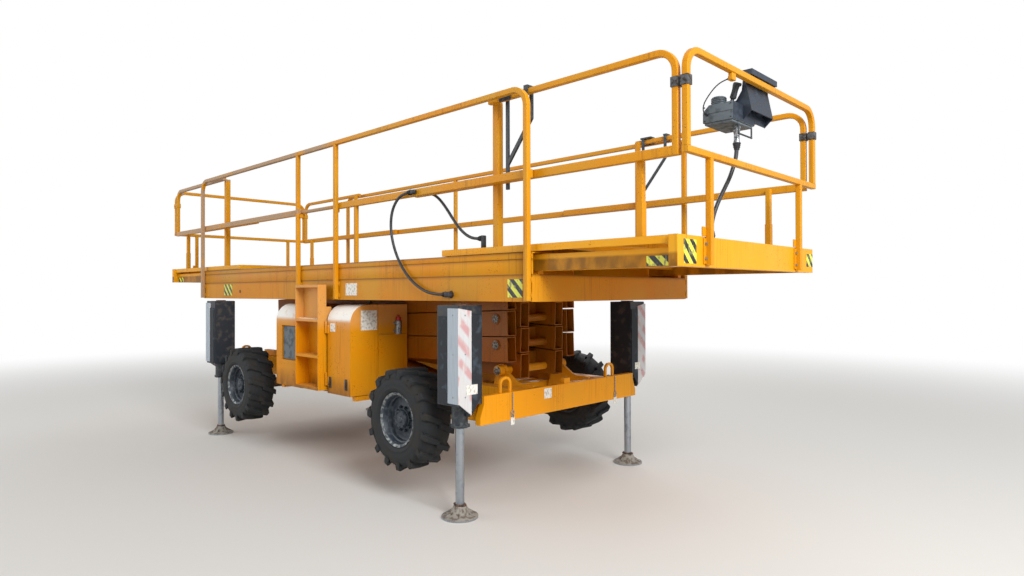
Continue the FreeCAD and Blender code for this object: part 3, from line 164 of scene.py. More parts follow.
def worn_enamel(name, coat, faded, stain, tops="B79A62", bleached=None, rust=0.66, chequer_from=None,
                soot_and_shade=None, painted_shadow_lines=(), aged=None):
    """Sprayed alkyd enamel on steel: half gloss with a fine orange peel, faded in cloudy areas, run with
    brownish streaks down its upright faces, dusty on top and chipped to rust in small spots. Bleached is a
    chalky colour and the height that it starts from. Soot and shade come as a pair of heights: painted shade
    and grime on the sides are darkest under the first and gone above the second. Painted shadow lines are
    the heights of folded edges, each with a dark line of painted shadow drawn under it. Aged is the colour
    that the near rail's level tubes and its last post have gone at the rear."""
    material, tree, shader = started(name, Roughness=0.45, Specular_IOR_Level=0.2)
    place, x, y, z = position(tree)
    _, across, up = facing(tree)
    upward = ramp(tree, up, 0.55, 0.95)
    upright = ramp(tree, calc(tree, "ABSOLUTE", up), 0.6, 0.2)
    colour = mixed(tree, patches(tree, place, 420, 0.38, 0.68), coat, faded)
    # Rain runs: 14 mm wide and about half a metre long, in bands where water comes over an edge.
    runs = patches(tree, place, 14, 0.5, 0.74, (1, 1, 0.03))
    bands = patches(tree, place, 300, 0.46, 0.62, (1, 1, 0.35))
    colour = mixed(tree, times(tree, runs, bands, upright, 0.55), colour, stain)
    dust = times(tree, upward, patches(tree, place, 160, 0.34, 0.7))
    colour = mixed(tree, times(tree, dust, 0.75), colour, tops)
    if bleached:
        # Sun and years on the rounded tops: chalky and pale, down to where the side turns upright.
        chalk, start = bleached
        share = times(tree, ramp(tree, z, start, start + 0.1), patches(tree, place, 90, 0.08, 0.4),
                      ramp(tree, up, -0.02, 0.22))
        colour = mixed(tree, share, colour, chalk)
    if soot_and_shade:
        # Painted shade and grime: the sides darken downwards between the two heights. This stands in for the shade
        # under the lip above the side channels and for the dirt they keep, with darker smears in it.
        full, clean = soot_and_shade
        grime_and_shade = times(tree, ramp(tree, z, clean, full), ramp(tree, calc(tree, "ABSOLUTE", across), 0.5, 0.8), 0.55)
        colour = mixed(tree, grime_and_shade, colour, stain)
        smears = patches(tree, place, 90, 0.34, 0.6, (1, 1, 0.5), 4)
        colour = mixed(tree, times(tree, grime_and_shade, smears), colour, "3E2A10")
    for height in painted_shadow_lines:
        # Painted shadow: a dark line on upright faces under a folded edge, fading over 42 mm below it.
        under = times(tree, ramp(tree, z, height - 0.042, height), calc(tree, "LESS_THAN", z, height))
        colour = mixed(tree, times(tree, calc(tree, "POWER", under, 3.0), upright, 0.85), colour, "5A3208")
    if aged:
        level = calc(tree, "COMPARE", x, -POST_X, 0.024)
        for height in (RAIL_TOP, RAIL_MIDDLE):
            level = calc(tree, "MAXIMUM", level, calc(tree, "COMPARE", z, height, 0.026))
        share = times(tree, ramp(tree, x, 0.36, 0.1), calc(tree, "LESS_THAN", y, -0.9), level,
                      patches(tree, place, 240, 0.26, 0.42, (0.6, 1, 1)), 0.85)
        colour = mixed(tree, share, colour, aged)
    chips = patches(tree, place, 9, rust, rust + 0.03, detail=2)
    chips = times(tree, chips, patches(tree, place, 260, 0.5, 0.6))
    colour = mixed(tree, chips, colour, "5E3219")
    rough = add(tree, "MapRange", {0: calc(tree, "MAXIMUM", dust, chips), 3: 0.4, 4: 0.88})
    peel = add(tree, "TexNoise", {"Vector": place, "Scale": 220, "Detail": 2})
    # The light rolls over the sharp edges of folded plate and square tube.
    edges = add(tree, "Bevel", {"Radius": 0.004}, samples=4)
    bump = add(tree, "Bump", {"Strength": 0.1, "Distance": 0.0006, "Height": peel, "Normal": edges})
    if chequer_from:
        # Tread plate: raised dashes every 30 mm, in staggered rows.
        tiles = add(tree, "TexBrick", {"Vector": place, "Scale": 33, "Color1": "FFFFFF", "Color2": "FFFFFF",
                                       "Mortar": "000000", "Mortar Size": 0.16, "Brick Width": 0.7,
                                       "Row Height": 0.7}, offset=0.5)
        walked = times(tree, upward, calc(tree, "GREATER_THAN", z, chequer_from))
        dashes = times(tree, walked, tiles.outputs[1])
        colour = mixed(tree, times(tree, walked, 0.55), colour, "8E8574")
        colour = mixed(tree, times(tree, dashes, 0.5), colour, "6F6759")
        bump = add(tree, "Bump", {"Strength": 0.6, "Distance": 0.002, "Height": dashes, "Normal": bump})
    tree.links.new(colour, shader.inputs["Base Color"])
    tree.links.new(rough.outputs[0], shader.inputs["Roughness"])
    tree.links.new(bump.outputs[0], shader.inputs["Normal"])
    return material


def weathered(name, base, patch, patch_mm, share, roughness, metallic=0.0, grain_mm=3, grain=0.2,
              depth=0.0006, **constants):
    """A plain finish broken up by one kind of irregular patch, with a fine grain in its surface."""
    material, tree, shader = started(name, Metallic=metallic, Roughness=roughness, **constants)
    place = add(tree, "TexCoord").outputs["Object"]
    middle = 0.68 - share * 0.36
    worn = patches(tree, place, patch_mm, middle - 0.05, middle + 0.09)
    tree.links.new(mixed(tree, worn, base, patch), shader.inputs["Base Color"])
    rough = add(tree, "MapRange", {0: worn, 3: roughness, 4: min(1.0, roughness + 0.25)})
    tree.links.new(rough.outputs[0], shader.inputs["Roughness"])
    fine = add(tree, "TexNoise", {"Vector": place, "Scale": 1000 / grain_mm, "Detail": 3})
    bump = add(tree, "Bump", {"Strength": grain, "Distance": depth, "Height": fine})
    tree.links.new(bump.outputs[0], shader.inputs["Normal"])
    return material


# The platform's enamel is a darker copy of the yellow: painted shade for its sides and ends, which lie in shade,
# the ends under the extensions.
shaded_platform_enamel = worn_enamel("shaded_platform_enamel", "CE8203", "CA8C18", "7A450F", painted_shadow_lines=(1.8375, 1.948, 1.9935))
deck_enamel = worn_enamel("deck_enamel", "DC9006", "D49520", "844C14", chequer_from=1.98)
rail_enamel = worn_enamel("rail_enamel", "D68C06", "CE921C", "844C14", tops="957A58", aged="A48A70")
cover_enamel = worn_enamel("cover_enamel", "DA8A04", "D28E14", "8A5312", bleached=("F1EFE9", 1.35),
                           soot_and_shade=(0.76, 0.93))
# The arms wear a darker copy of the yellow enamel: painted shade, for arms that stand in the shade under the
# platform.
shaded_arm_enamel = worn_enamel("shaded_arm_enamel", "A05606", "965C12", "45270D", tops="65502F", rust=0.62)
chassis_enamel = worn_enamel("chassis_enamel", "E49406", "DA9418", "8A5420", tops="7D6238", rust=0.68)
extension_enamel = worn_enamel("extension_enamel", "E99E07", "E1A222", "844A0E", chequer_from=1.98,
                               soot_and_shade=(1.935, 1.951))

# Vulcanised rubber: near black, matt, with dry paving dust in the tread's grooves and on the sidewalls.
tyre_rubber = weathered("tyre_rubber", "16191C", "2D2B28", 110, 0.34, 0.8, grain_mm=4, grain=0.5,
                        depth=0.0015)
# Wheel enamel: dark blue grey, half gloss, scraped pale where stones and tyre levers meet it.
wheel_enamel = weathered("wheel_enamel", "2A323B", "474E56", 34, 0.32, 0.45, metallic=0.1)
worn_lip = weathered("worn_lip_steel", "8A8D8D", "4E5358", 30, 0.6, 0.45, metallic=0.6)
# Hard chrome: ground and polished, a cool mirror blurred by the finest scratches.
hard_chrome = weathered("hard_chrome", "A7ADB4", "8E959D", 90, 0.4, 0.28, metallic=1.0, grain_mm=2, grain=0.02)
# Foot plates: enamel rubbed off by paving, chalky grey over brown primer.
foot_plate = weathered("scuffed_foot_steel", "8F8A82", "665C52", 34, 0.45, 0.75, grain=0.35)
# Housing enamel: blue black, half gloss, flaked pale and brown by weather.
housing_enamel = weathered("housing_enamel", "1D252E", "45413C", 60, 0.25, 0.48, grain=0.3)
# Bumper rubber: matt black with whitish bloom where the skin has flaked.
bumper_rubber = weathered("bumper_rubber", "151B22", "3C4650", 70, 0.22, 0.72, grain_mm=5, grain=0.5)
guide_enamel = weathered("guide_tube_enamel", "20262C", "454A4E", 30, 0.4, 0.45)
# Polyester powder on folded steel: mid grey with a fine leather-like grain.
grey_box = weathered("grey_powder_coat", "5A646B", "474F55", 60, 0.4, 0.5, grain_mm=1.6, grain=0.25)
# Moulded polyethylene: dark blue grey, silky, paler where it has been rubbed.
dark_plastic = weathered("moulded_polyethylene", "1E2733", "303A48", 50, 0.4, 0.5, grain_mm=1.5)
black_plastic = weathered("black_nylon", "1B1D20", "303338", 40, 0.4, 0.5, grain_mm=1.5)
# Cable sheath: smooth black PVC with a dull shine along its top.
cable_sheath = weathered("cable_sheath_pvc", "1A1B1D", "35363A", 60, 0.35, 0.42, grain_mm=2, grain=0.08)
# Cast axle: rough sand-cast iron under dark paint, greasy with dust.
cast_iron = weathered("cast_iron_dusty", "47413A", "75674F", 60, 0.5, 0.72, grain_mm=4, grain=0.6, depth=0.001)
# Zinc plating: pale grey, dull, with cloudy spangles.
zinc = weathered("zinc_plate", "A4A8AB", "7C8084", 12, 0.5, 0.45, metallic=0.85)
# Clamp zinc: gone dull brown-grey outdoors.
worn_zinc = weathered("dull_zinc_clamp", "5C5E61", "473D33", 22, 0.5, 0.6, metallic=0.5)
# Pin steel: bare turned ends, greasy grey with brown rings.
pin_steel = weathered("greasy_pin_steel", "7E7C78", "54412F", 14, 0.5, 0.48, metallic=0.7)
blank_film = weathered("blank_label_film", "E6E4DC", "B9B4A6", 22, 0.4, 0.45)
red_enamel = weathered("red_cap_enamel", "B3201A", "8C2A20", 20, 0.4, 0.4)
bare_rust = weathered("rusted_steel", "6A4A36", "3E3935", 16, 0.6, 0.85, grain_mm=3, grain=0.7, depth=0.001)


def striped(name, dark, pale, width, worn_colour, worn_share, roughness, edge=0.012, worn_mm=24):
    """Printed film in slanted stripes, width metres across each; the same slant on every upright face."""
    material, tree, shader = started(name, Roughness=roughness)
    place, x, y, z = position(tree)
    on_end = calc(tree, "GREATER_THAN", calc(tree, "ABSOLUTE", facing(tree)[0]), 0.7)
    along = add(tree, "Mix", {0: on_end, 2: x, 3: y})
    slant = calc(tree, "ADD", along.outputs[0], z)
    wave = calc(tree, "SINE", times(tree, slant, math.pi / (width * math.sqrt(2))))
    colour = mixed(tree, ramp(tree, wave, -edge, edge), dark, pale)
    worn = patches(tree, place, worn_mm, 0.66 - worn_share * 0.5, 0.72 - worn_share * 0.4, (1, 1, 0.4))
    colour = mixed(tree, worn, colour, worn_colour)
    tree.links.new(colour, shader.inputs["Base Color"])
    return material, tree, shader, place, on_end, colour


# Hazard film: black on greenish yellow, printed vinyl with a soft shine.
hazard_film = striped("hazard_film", "16171A", "DFE04A", 0.034, "8E8C54", 0.22, 0.4)[0]


def faded_board_film():
    """Reflective board film bleached by the sun: slanted red gone to broken pink, the side strips grey."""
    material, tree, shader, place, on_end, stripes = striped(
        "faded_board_film", "C69A9B", "CBCDD0", 0.054, "CDCCCC", 0.4, 0.5, edge=0.55, worn_mm=85)
    runs = patches(tree, place, 9, 0.45, 0.8, (1, 1, 0.05))
    plain = mixed(tree, times(tree, runs, 0.5), "A9B3BD", "808B95")
    dirty = mixed(tree, times(tree, runs, 0.25), stripes, "96908A")
    tree.links.new(mixed(tree, on_end, plain, dirty), shader.inputs["Base Color"])
    return material


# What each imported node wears, by how its name starts. The rest are replaced by pieces made here.
WEARS = (
    (chassis_enamel, "chassis_frame pivot_brackets end_beams"), (housing_enamel, "jack_housings"),
    (guide_enamel, "jack_tubes rail_hook"), (hard_chrome, "jack_leg cylinder_rod"),
    (faded_board_film(), "warning_boards"), (bumper_rubber, "rubber_strips"),
    (cast_iron, "axle knuckle engine_block"), (shaded_arm_enamel, "inner_arms outer_arms cylinder_barrel"),
    (shaded_platform_enamel, "platform_"), (deck_enamel, "main_deck"), (rail_enamel, "entry_bar"),
    (extension_enamel, "extension_deck"), (cover_enamel, "cover_ hood_ ladder"), (grey_box, "control_panel"),
    (black_plastic, "oil_tank"), (dark_plastic, "control_hood"),
)


def split_sharp(piece, angle=SMOOTH_ANGLE):
    """Smooth shading up to the angle, with sharp edges beyond it."""
    piece.data.shade_smooth()
    piece.modifiers.new("EdgeSplit", "EDGE_SPLIT").split_angle = math.radians(angle)


for material, starts in WEARS:
    for name, node in nodes.items():
        if name.startswith(tuple(starts.split())):
            node.data.materials.clear()
            node.data.materials.append(material)
            node.modifiers.new("Weld", "WELD").merge_threshold = 0.00005
            split_sharp(node)


# Pieces. Each is one bmesh, finished at the origin and riding on the body that carries it.
def finished(name, bm, material, body, smooth=SMOOTH_ANGLE, at=(0, 0, 0)):
    bmesh.ops.translate(bm, vec=at, verts=bm.verts)
    bmesh.ops.remove_doubles(bm, verts=bm.verts, dist=0.00002)
    bmesh.ops.recalc_face_normals(bm, faces=bm.faces)
    mesh = bpy.data.meshes.new(name)
    bm.to_mesh(mesh)
    bm.free()
    mesh.materials.append(material)
    piece = placed(name, mesh)
    split_sharp(piece, smooth)
    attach(piece, body)
    return piece


def bevelled(bm, edges, width, segments=2, affect="EDGES"):
    """The edges, or corners, rounded by width."""
    return bmesh.ops.bevel(bm, geom=edges, offset=width, offset_type="OFFSET", segments=segments, profile=0.5,
                           affect=affect, material=-1)


def edges_of(verts):
    """The edges that these vertices end."""
    return list({edge for vert in verts for edge in vert.link_edges})


def slab(bm, corner, opposite, width=0.0, segments=2):
    """A block between two opposite corners, its edges rounded by width."""
    low, high = (Vector([pick(pair) for pair in zip(corner, opposite)]) for pick in (min, max))
    verts = bmesh.ops.create_cube(bm, size=1)["verts"]
    bmesh.ops.scale(bm, vec=high - low, verts=verts)
    bmesh.ops.translate(bm, vec=(low + high) / 2, verts=verts)
    if width:
        bevelled(bm, edges_of(verts), width, segments)


TURNS = {"X": Matrix.Rotation(math.pi / 2, 4, "Y"), "Y": Matrix.Rotation(-math.pi / 2, 4, "X"),
         "Z": Matrix.Identity(4)}


def stud(bm, axis, middle, radius, length, sides=24, tip=None, width=0.0):
    """A bar, cone or hexagon centred on middle; tip is the radius of its far end."""
    verts = bmesh.ops.create_cone(bm, segments=sides, radius1=radius, radius2=radius if tip is None else tip,
                                  depth=length, cap_ends=True)["verts"]
    if width:
        rims = [edge for edge in edges_of(verts) if abs(edge.verts[0].co.z - edge.verts[1].co.z) < 1e-6]
        rounded = {vert for face in bevelled(bm, rims, width)["faces"] for vert in face.verts}
        verts = list(rounded | {vert for vert in verts if vert.is_valid})
    bmesh.ops.transform(bm, matrix=Matrix.Translation(middle) @ TURNS[axis], verts=verts)


def turned(bm, spots, axis, steps, closed=False):
    """A line through spots turned about an axis of the origin; closed joins its ends."""
    verts = [bm.verts.new(spot) for spot in spots]
    pairs = list(zip(verts, verts[1:])) + ([(verts[-1], verts[0])] if closed else [])
    edges = [bm.edges.new(pair) for pair in pairs]
    bmesh.ops.spin(bm, geom=verts + edges, cent=(0, 0, 0), axis=axis, angle=2 * math.pi, steps=steps,
                   use_merge=True)


def spun(bm, profile, steps, side=1, closed=True):
    """A profile of (along Y, radius) pairs turned about the Y axis, mirrored where side is -1."""
    turned(bm, [(0, side * y, radius) for y, radius in profile], (0, 1, 0), steps, closed)


def around_z(bm, profile, steps=32):
    """A profile of (radius, height) pairs turned about the Z axis."""
    turned(bm, [(radius, 0, z) for radius, z in profile], (0, 0, 1), steps)


# Rails: square tube with rounded corners, bent cold at the corners and welded at the tees.
TUBE, TUBE_CORNER, BEND = 0.0205, 0.0055, 0.13
# Posts are a touch slimmer than the tubes they meet, flat tubes are wider, and ends sink in by a millimetre.
POST, FLAT, TUBE_SINK = TUBE - 0.0005, 0.03, TUBE - 0.001


def square_run(bm, route, half=TUBE, across=None, bends=()):
    """A square tube, or a flat one across wide, along route, which lies in one plane; its corners are bent."""
    route = [Vector(spot) for spot in route]
    across = half if across is None else across
    ahead = (route[1] - route[0]).normalized()
    normal = Vector((0, 0, 1)) if abs(ahead.z) < 0.5 else Vector((0, 1, 0))
    if len(route) > 2:
        normal = ahead.cross(route[2] - route[1]).normalized()
    side = ahead.cross(normal)
    made = bmesh.ops.create_grid(bm, x_segments=1, y_segments=1, size=1)
    frame_of_end = Matrix((side, normal, ahead)).transposed().to_4x4()
    frame_of_end.translation = route[0]
    bmesh.ops.transform(bm, matrix=frame_of_end @ Matrix.Diagonal((half, across, 1, 1)), verts=made["verts"])
    bevelled(bm, made["verts"], TUBE_CORNER, 2, "VERTICES")
    end = max((face for face in bm.faces if (face.calc_center_median() - route[0]).length < 1e-5),
              key=lambda face: len(face.verts))
    reached = route[0]
    for number, spot in enumerate(route[1:], 1):
        ahead = (spot - route[number - 1]).normalized()
        stop = spot
        if number in bends:
            out = (route[number + 1] - spot).normalized()
            angle, axis = ahead.angle(out), ahead.cross(out).normalized()
            stop = spot - ahead * BEND * math.tan(angle / 2)
        made = bmesh.ops.extrude_face_region(bm, geom=[end])["geom"]
        verts = [item for item in made if isinstance(item, bmesh.types.BMVert)]
        bmesh.ops.translate(bm, vec=stop - reached, verts=verts)
        end = next(item for item in made if isinstance(item, bmesh.types.BMFace))
        reached = stop
        if number in bends:
            centre = stop + axis.cross(ahead) * BEND
            made = bmesh.ops.spin(bm, geom=[end], cent=centre, axis=axis, angle=angle, steps=9)
            end = next(item for item in made["geom_last"] if isinstance(item, bmesh.types.BMFace))
            reached = spot + out * BEND * math.tan(angle / 2)


def weigh(piece):
    """Normals that follow the large faces, so that flat sides stay flat and only the corners roll."""
    piece.modifiers.new("WeightedNormal", "WEIGHTED_NORMAL").keep_sharp = True


def side_rail(side_name):
    """A fixed rail: posts clamped to the beam, a bent top tube, and a flat middle tube split by the entry."""
    side = SIDES[side_name]
    y, inner_y = side * RAIL_SIDE, side * (RAIL_SIDE - 0.043)
    bm = bmesh.new()
    square_run(bm, [(-POST_X, y, RAIL_FOOT), (-POST_X, y, RAIL_TOP), (POST_X, y, RAIL_TOP),
                    (POST_X, y, RAIL_FOOT)], bends=(1, 2))
    for end in ENDS.values():
        square_run(bm, [(end * ENTRY_X, y, RAIL_FOOT), (end * ENTRY_X, y, RAIL_TOP - TUBE_SINK)], half=POST)
        span = sorted((end * ENTRY_X if side < 0 else -0.002 * end, end * POST_X))
        square_run(bm, [(x, inner_y, RAIL_MIDDLE) for x in span], across=FLAT)
        for x in (end * POST_X, end * ENTRY_X):
            for z in (1.69, 1.798):
                slab(bm, (x - 0.03, side * 1.0555, z - 0.02), (x + 0.03, side * 1.064, z + 0.02), 0.003)
                for bolt in (-0.024, 0.024):
                    stud(bm, "Y", (x + bolt, side * 1.066, z), 0.0055, 0.004, sides=6)
    if side < 0:
        slab(bm, (0.635, -1.046, 1.986), (0.665, -1.016, 2.522), 0.003)
        for x in (0.315, -0.355):
            slab(bm, (x, -1.08, 2.487), (x + 0.04, -1.03, 2.525), 0.003)
        stud(bm, "Z", (0.325, -1.045, 2.544), 0.008, 0.07, sides=16, width=0.002)
    rail = finished(f"side_rail_{side_name}_tubes", bm, rail_enamel, "platform", smooth=60)
    weigh(rail)
    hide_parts(f"side_rail_{side_name}")


def extension_rail(end_name):
    """An extension's rails: a side frame on square posts each side, and an end frame clamped to both."""
    end = ENDS[end_name]
    end_x, front = end * 3.988, end * 4.054
    body = f"extension_{end_name}"
    bm = bmesh.new()
    clamps = bmesh.new()
    for side in SIDES.values():
        y, leg_y, flat_y = side * SLIDE_SIDE, side * 0.71, side * (SLIDE_SIDE - 0.002)
        square_run(bm, [(end * 2.405, y, RAIL_TOP), (end_x, y, RAIL_TOP), (end_x, y, RAIL_MIDDLE - 0.028)],
                   bends=(1,))
        square_run(bm, [(end * x, flat_y, RAIL_MIDDLE) for x in (1.5, 4.008)], across=FLAT)
        inside, width = (2.41, 0.9115) if side < 0 else (2.425, 0.9265)
        slab(bm, (end * inside, side * width, 2.05), (end * 2.468, side * 0.9695, RAIL_TOP), 0.006)
        # The outer post is slimmer and stands in a socket welded to the deck.
        slab(bm, (end * 3.697, side * 0.97, 2.05), (end * 3.738, side * 0.929, RAIL_MIDDLE + 0.01), 0.005)
        slab(bm, (end * 3.694, side * 0.973, 2.05), (end * 3.741, side * 0.926, 2.27), 0.003)
        # The end frame's leg, its foot plate, and the stop above it.
        square_run(bm, [(front, leg_y, 1.874), (front, leg_y, RAIL_MIDDLE - TUBE_SINK)], half=POST)
        slab(bm, (end * 4.0305, leg_y - 0.045, 1.882), (end * 4.04, leg_y + 0.045, 2.04), 0.002)
        slab(bm, (end * 4.031, leg_y - 0.062, 2.052), (end * 4.04, leg_y - 0.02, 2.11), 0.002)
        # Two collars joined by a strap hold the two frames together.
        reach = TUBE + 0.006
        slab(clamps, (end_x, y - 0.012, RAIL_TOP - 0.224), (front, y + 0.012, RAIL_TOP - 0.17), 0.002)
        for x in (end_x, front):
            slab(clamps, (x - reach, y - reach, RAIL_TOP - 0.228), (x + reach, y + reach, RAIL_TOP - 0.166), 0.004)
            for bolt in (-0.0295, 0.0295):
                stud(clamps, "Y", (x, y + bolt, RAIL_TOP - 0.197), 0.008, 0.007, sides=6)
    foot = RAIL_MIDDLE + TUBE_SINK
    square_run(bm, [(front, -SLIDE_SIDE, foot), (front, -SLIDE_SIDE, RAIL_TOP), (front, SLIDE_SIDE, RAIL_TOP),
                    (front, SLIDE_SIDE, foot)], bends=(1, 2))
    square_run(bm, [(front, -SLIDE_SIDE - TUBE, RAIL_MIDDLE), (front, SLIDE_SIDE + TUBE, RAIL_MIDDLE)])
    rail = finished(f"extension_rail_{end_name}_tubes", bm, rail_enamel, body, smooth=60)
    weigh(rail)
    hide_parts(f"extension_rail_{end_name}")
    finished(f"rail_clamps_{end_name}", clamps, worn_zinc if end > 0 else rail_enamel, body)


def side_bands(side_name):
    """Folded edge strips on the platform's side: the deck's lip, and the upper web below it."""
    side = SIDES[side_name]
    bm = bmesh.new()
    for low, high, proud in ((1.8385, 1.948, 0.0025), (1.9485, 1.9935, 0.0042)):
        slab(bm, (-2.8885, side * 1.0548, low), (2.8885, side * (PLATFORM_SIDE + proud), high), 0.0012)
    finished(f"side_bands_{side_name}", bm, shaded_platform_enamel, "platform")


# The far rail's hook bracket, the near one's twin: two flat bars and a brace, hooked over the tube.
y_low, y_high = 0.951, 0.966
bm = bmesh.new()
for low, high, foot in ((2.487, 2.513, 2.475), (2.726, 2.752, 2.96)):
    slab(bm, (low, y_low, foot), (high, y_high, RAIL_TOP + 0.022), 0.002)
made = bmesh.ops.create_cube(bm, size=1)["verts"]
bmesh.ops.transform(bm, verts=made, matrix=Matrix.Translation((2.6225, 0.9585, 2.818))
                    @ Matrix.Rotation(math.radians(-51), 4, "Y") @ Matrix.Diagonal((0.385, 0.014, 0.026, 1)))
bevelled(bm, edges_of(made), 0.002)
for low, high in ((2.472, 2.59), (2.72, 2.758)):
    slab(bm, (low, y_low, RAIL_TOP + 0.0215), (high, 1.02, RAIL_TOP + 0.038), 0.002)
    slab(bm, (low, 1.0145, RAIL_TOP - 0.029), (high, 1.02, RAIL_TOP + 0.038), 0.002)
finished("rail_hook_far", bm, guide_enamel, "extension_front")

for name in SIDES:
    side_bands(name)
    side_rail(name)
for name in ENDS:
    extension_rail(name)


# What the cables end in: a clip on the middle tube, seats on the deck, and a welded tab under the end rail.
bm = bmesh.new()
slab(bm, (1.52, -0.9685, 2.529), (1.55, -0.925, 2.569), 0.005)
slab(bm, (2.271, -0.964, 2.0502), (2.297, -0.926, 2.152), 0.006)
stud(bm, "Z", (3.91, -0.415, 2.0625), 0.024, 0.0245, sides=32, width=0.004)
seats = finished("cable_seats", bm, black_plastic, "extension_front")
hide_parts("cable_fittings")
bm = bmesh.new()
slab(bm, (4.04, -0.428, 3.082), (4.068, -0.372, 3.1285), 0.003)
slab(bm, (4.034, -0.422, 3.082), (4.041, -0.378, 3.108), 0.002)
finished("cable_tab", bm, rail_enamel, "extension_front")


# Cords: the route's own points, drawn as one smooth spline.
CORDS = {
    "loop_cable": ("platform", 0.012, 1.43, [
        (2.000, -1.085, 1.695), (1.85, -1.085, 1.695), (1.69, -1.085, 1.735), (1.535, -1.085, 1.82),
        (1.405, -1.085, 1.945), (1.31, -1.085, 2.095), (1.262, -1.085, 2.255), (1.275, -1.085, 2.4),
        (1.345, -1.085, 2.5), (1.445, -1.085, 2.549), (1.55, -1.085, 2.549)]),
    "drop_cable": ("extension_front", 0.012, 0.86, [
        (1.55, -0.945, 2.549), (1.64, -0.945, 2.549), (1.74, -0.945, 2.5), (1.835, -0.945, 2.41),
        (1.93, -0.945, 2.3), (2.02, -0.945, 2.21), (2.105, -0.945, 2.155), (2.195, -0.945, 2.13),
        (2.27, -0.945, 2.13)]),
    "box_cable": ("extension_front", 0.014, 0.74, [
        (3.95, -0.12, 2.737), (3.95, -0.12, 2.665), (3.944, -0.15, 2.58), (3.936, -0.205, 2.48),
        (3.926, -0.285, 2.38), (3.918, -0.35, 2.29), (3.912, -0.395, 2.205), (3.91, -0.415, 2.133),
        (3.91, -0.415, 2.075)]),
    "rail_cable": ("extension_front", 0.004, 0.335, [
        (3.815, -0.3008, 2.925), (3.818, -0.345, 2.93), (3.835, -0.372, 2.975), (3.88, -0.384, 3.025),
        (3.93, -0.396, 3.065), (3.985, -0.402, 3.092), (4.033, -0.398, 3.1)]),
}


def sleeve(bm, start, ahead, radius, length):
    """A tapered strain relief with three soft ribs, from start along ahead."""
    start, ahead = Vector(start), Vector(ahead).normalized()
    turn = ahead.to_track_quat("Z", "Y").to_matrix().to_4x4()
    parts = [(0.5, radius * 1.9, radius * 1.25, length)]
    parts += [(share, radius * 2.1 - radius * share * 0.6, radius * 2.0 - radius * share * 0.6, length * 0.09)
              for share in (0.14, 0.38, 0.62)]
    for share, low, high, reach in parts:
        made = bmesh.ops.create_cone(bm, segments=20, radius1=low, radius2=high, depth=reach, cap_ends=True)
        move = Matrix.Translation(start + ahead * length * share) @ turn
        bmesh.ops.transform(bm, matrix=move, verts=made["verts"])


for name, (body, radius, length, route) in CORDS.items():
    curve = bpy.data.curves.new(name + "_sheath", "CURVE")
    curve.dimensions = "3D"
    spline = curve.splines.new("NURBS")
    spline.points.add(len(route) - 1)
    for point, spot in zip(spline.points, route):
        point.co = (*spot, 1)
    spline.order_u = 3
    spline.use_endpoint_u = True
    spline.resolution_u = 12
    curve.bevel_depth = radius
    curve.bevel_resolution = 5
    curve.use_fill_caps = True
    curve.materials.append(cable_sheath)
    cord = placed(name + "_sheath", curve)
    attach(cord, body)
    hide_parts(name)
    bm = bmesh.new()
    for start, second in ((route[0], route[1]), (route[-1], route[-2])):
        sleeve(bm, start, Vector(second) - Vector(start), radius, min(0.05, radius * 4))
    reliefs = finished(name + "_reliefs", bm, black_plastic, body)


# Tyres: a carcass turned from its section and two rows of slanted lugs that wrap over the shoulders.
TYRE_SECTION = [(0.129, 0.2285), (0.1405, 0.234), (0.1475, 0.248), (0.1505, 0.262), (0.1475, 0.268),
                (0.1515, 0.292), (0.15, 0.322), (0.145, 0.334), (0.1462, 0.342), (0.138, 0.366),
                (0.111, 0.3865)]
TYRE_SECTION += [(-y, radius) for y, radius in reversed(TYRE_SECTION)]
TYRE_SECTION += [(-0.128, 0.2108), (0.128, 0.2108)]
LUGS = 15


def lug(bm, row, slant, turn):
    """One lug: a quad on the sidewall extruded over the shoulder to just past the middle."""
    stations = [(0.1512, 0.338, 0.366, -0.034, 0.03), (0.15, 0.352, 0.396, -0.034, 0.031),
                (0.143, 0.368, 0.411, -0.032, 0.031), (0.125, 0.374, 0.4145, -0.026, 0.03),
                (0.05, 0.378, 0.4145, 0.008, 0.027), (-0.014, 0.378, 0.414, 0.033, 0.025)]
    rings = [[Vector((slant * (lean + across), row * y, radius)) for across, radius in (
        (-half, low), (half, low), (half * 0.86, high), (-half * 0.86, high))]
        for y, low, high, lean, half in stations]
    first = [bm.verts.new(spot) for spot in rings[0]]
    every, face = list(first), bm.faces.new(first)
    for before, ring in zip(rings, rings[1:]):
        made = bmesh.ops.extrude_face_region(bm, geom=[face])["geom"]
        if face.is_valid:
            bmesh.ops.delete(bm, geom=[face], context="FACES_ONLY")
        fresh = [item for item in made if isinstance(item, bmesh.types.BMVert)]
        for vert in fresh:
            vert.co = ring[min(range(4), key=lambda corner: (vert.co - before[corner]).length)]
        face = next(item for item in made if isinstance(item, bmesh.types.BMFace))
        every += fresh
    bmesh.ops.contextual_create(bm, geom=first)
    bmesh.ops.rotate(bm, cent=(0, 0, 0), matrix=Matrix.Rotation(turn, 3, "Y"), verts=every)
    return every


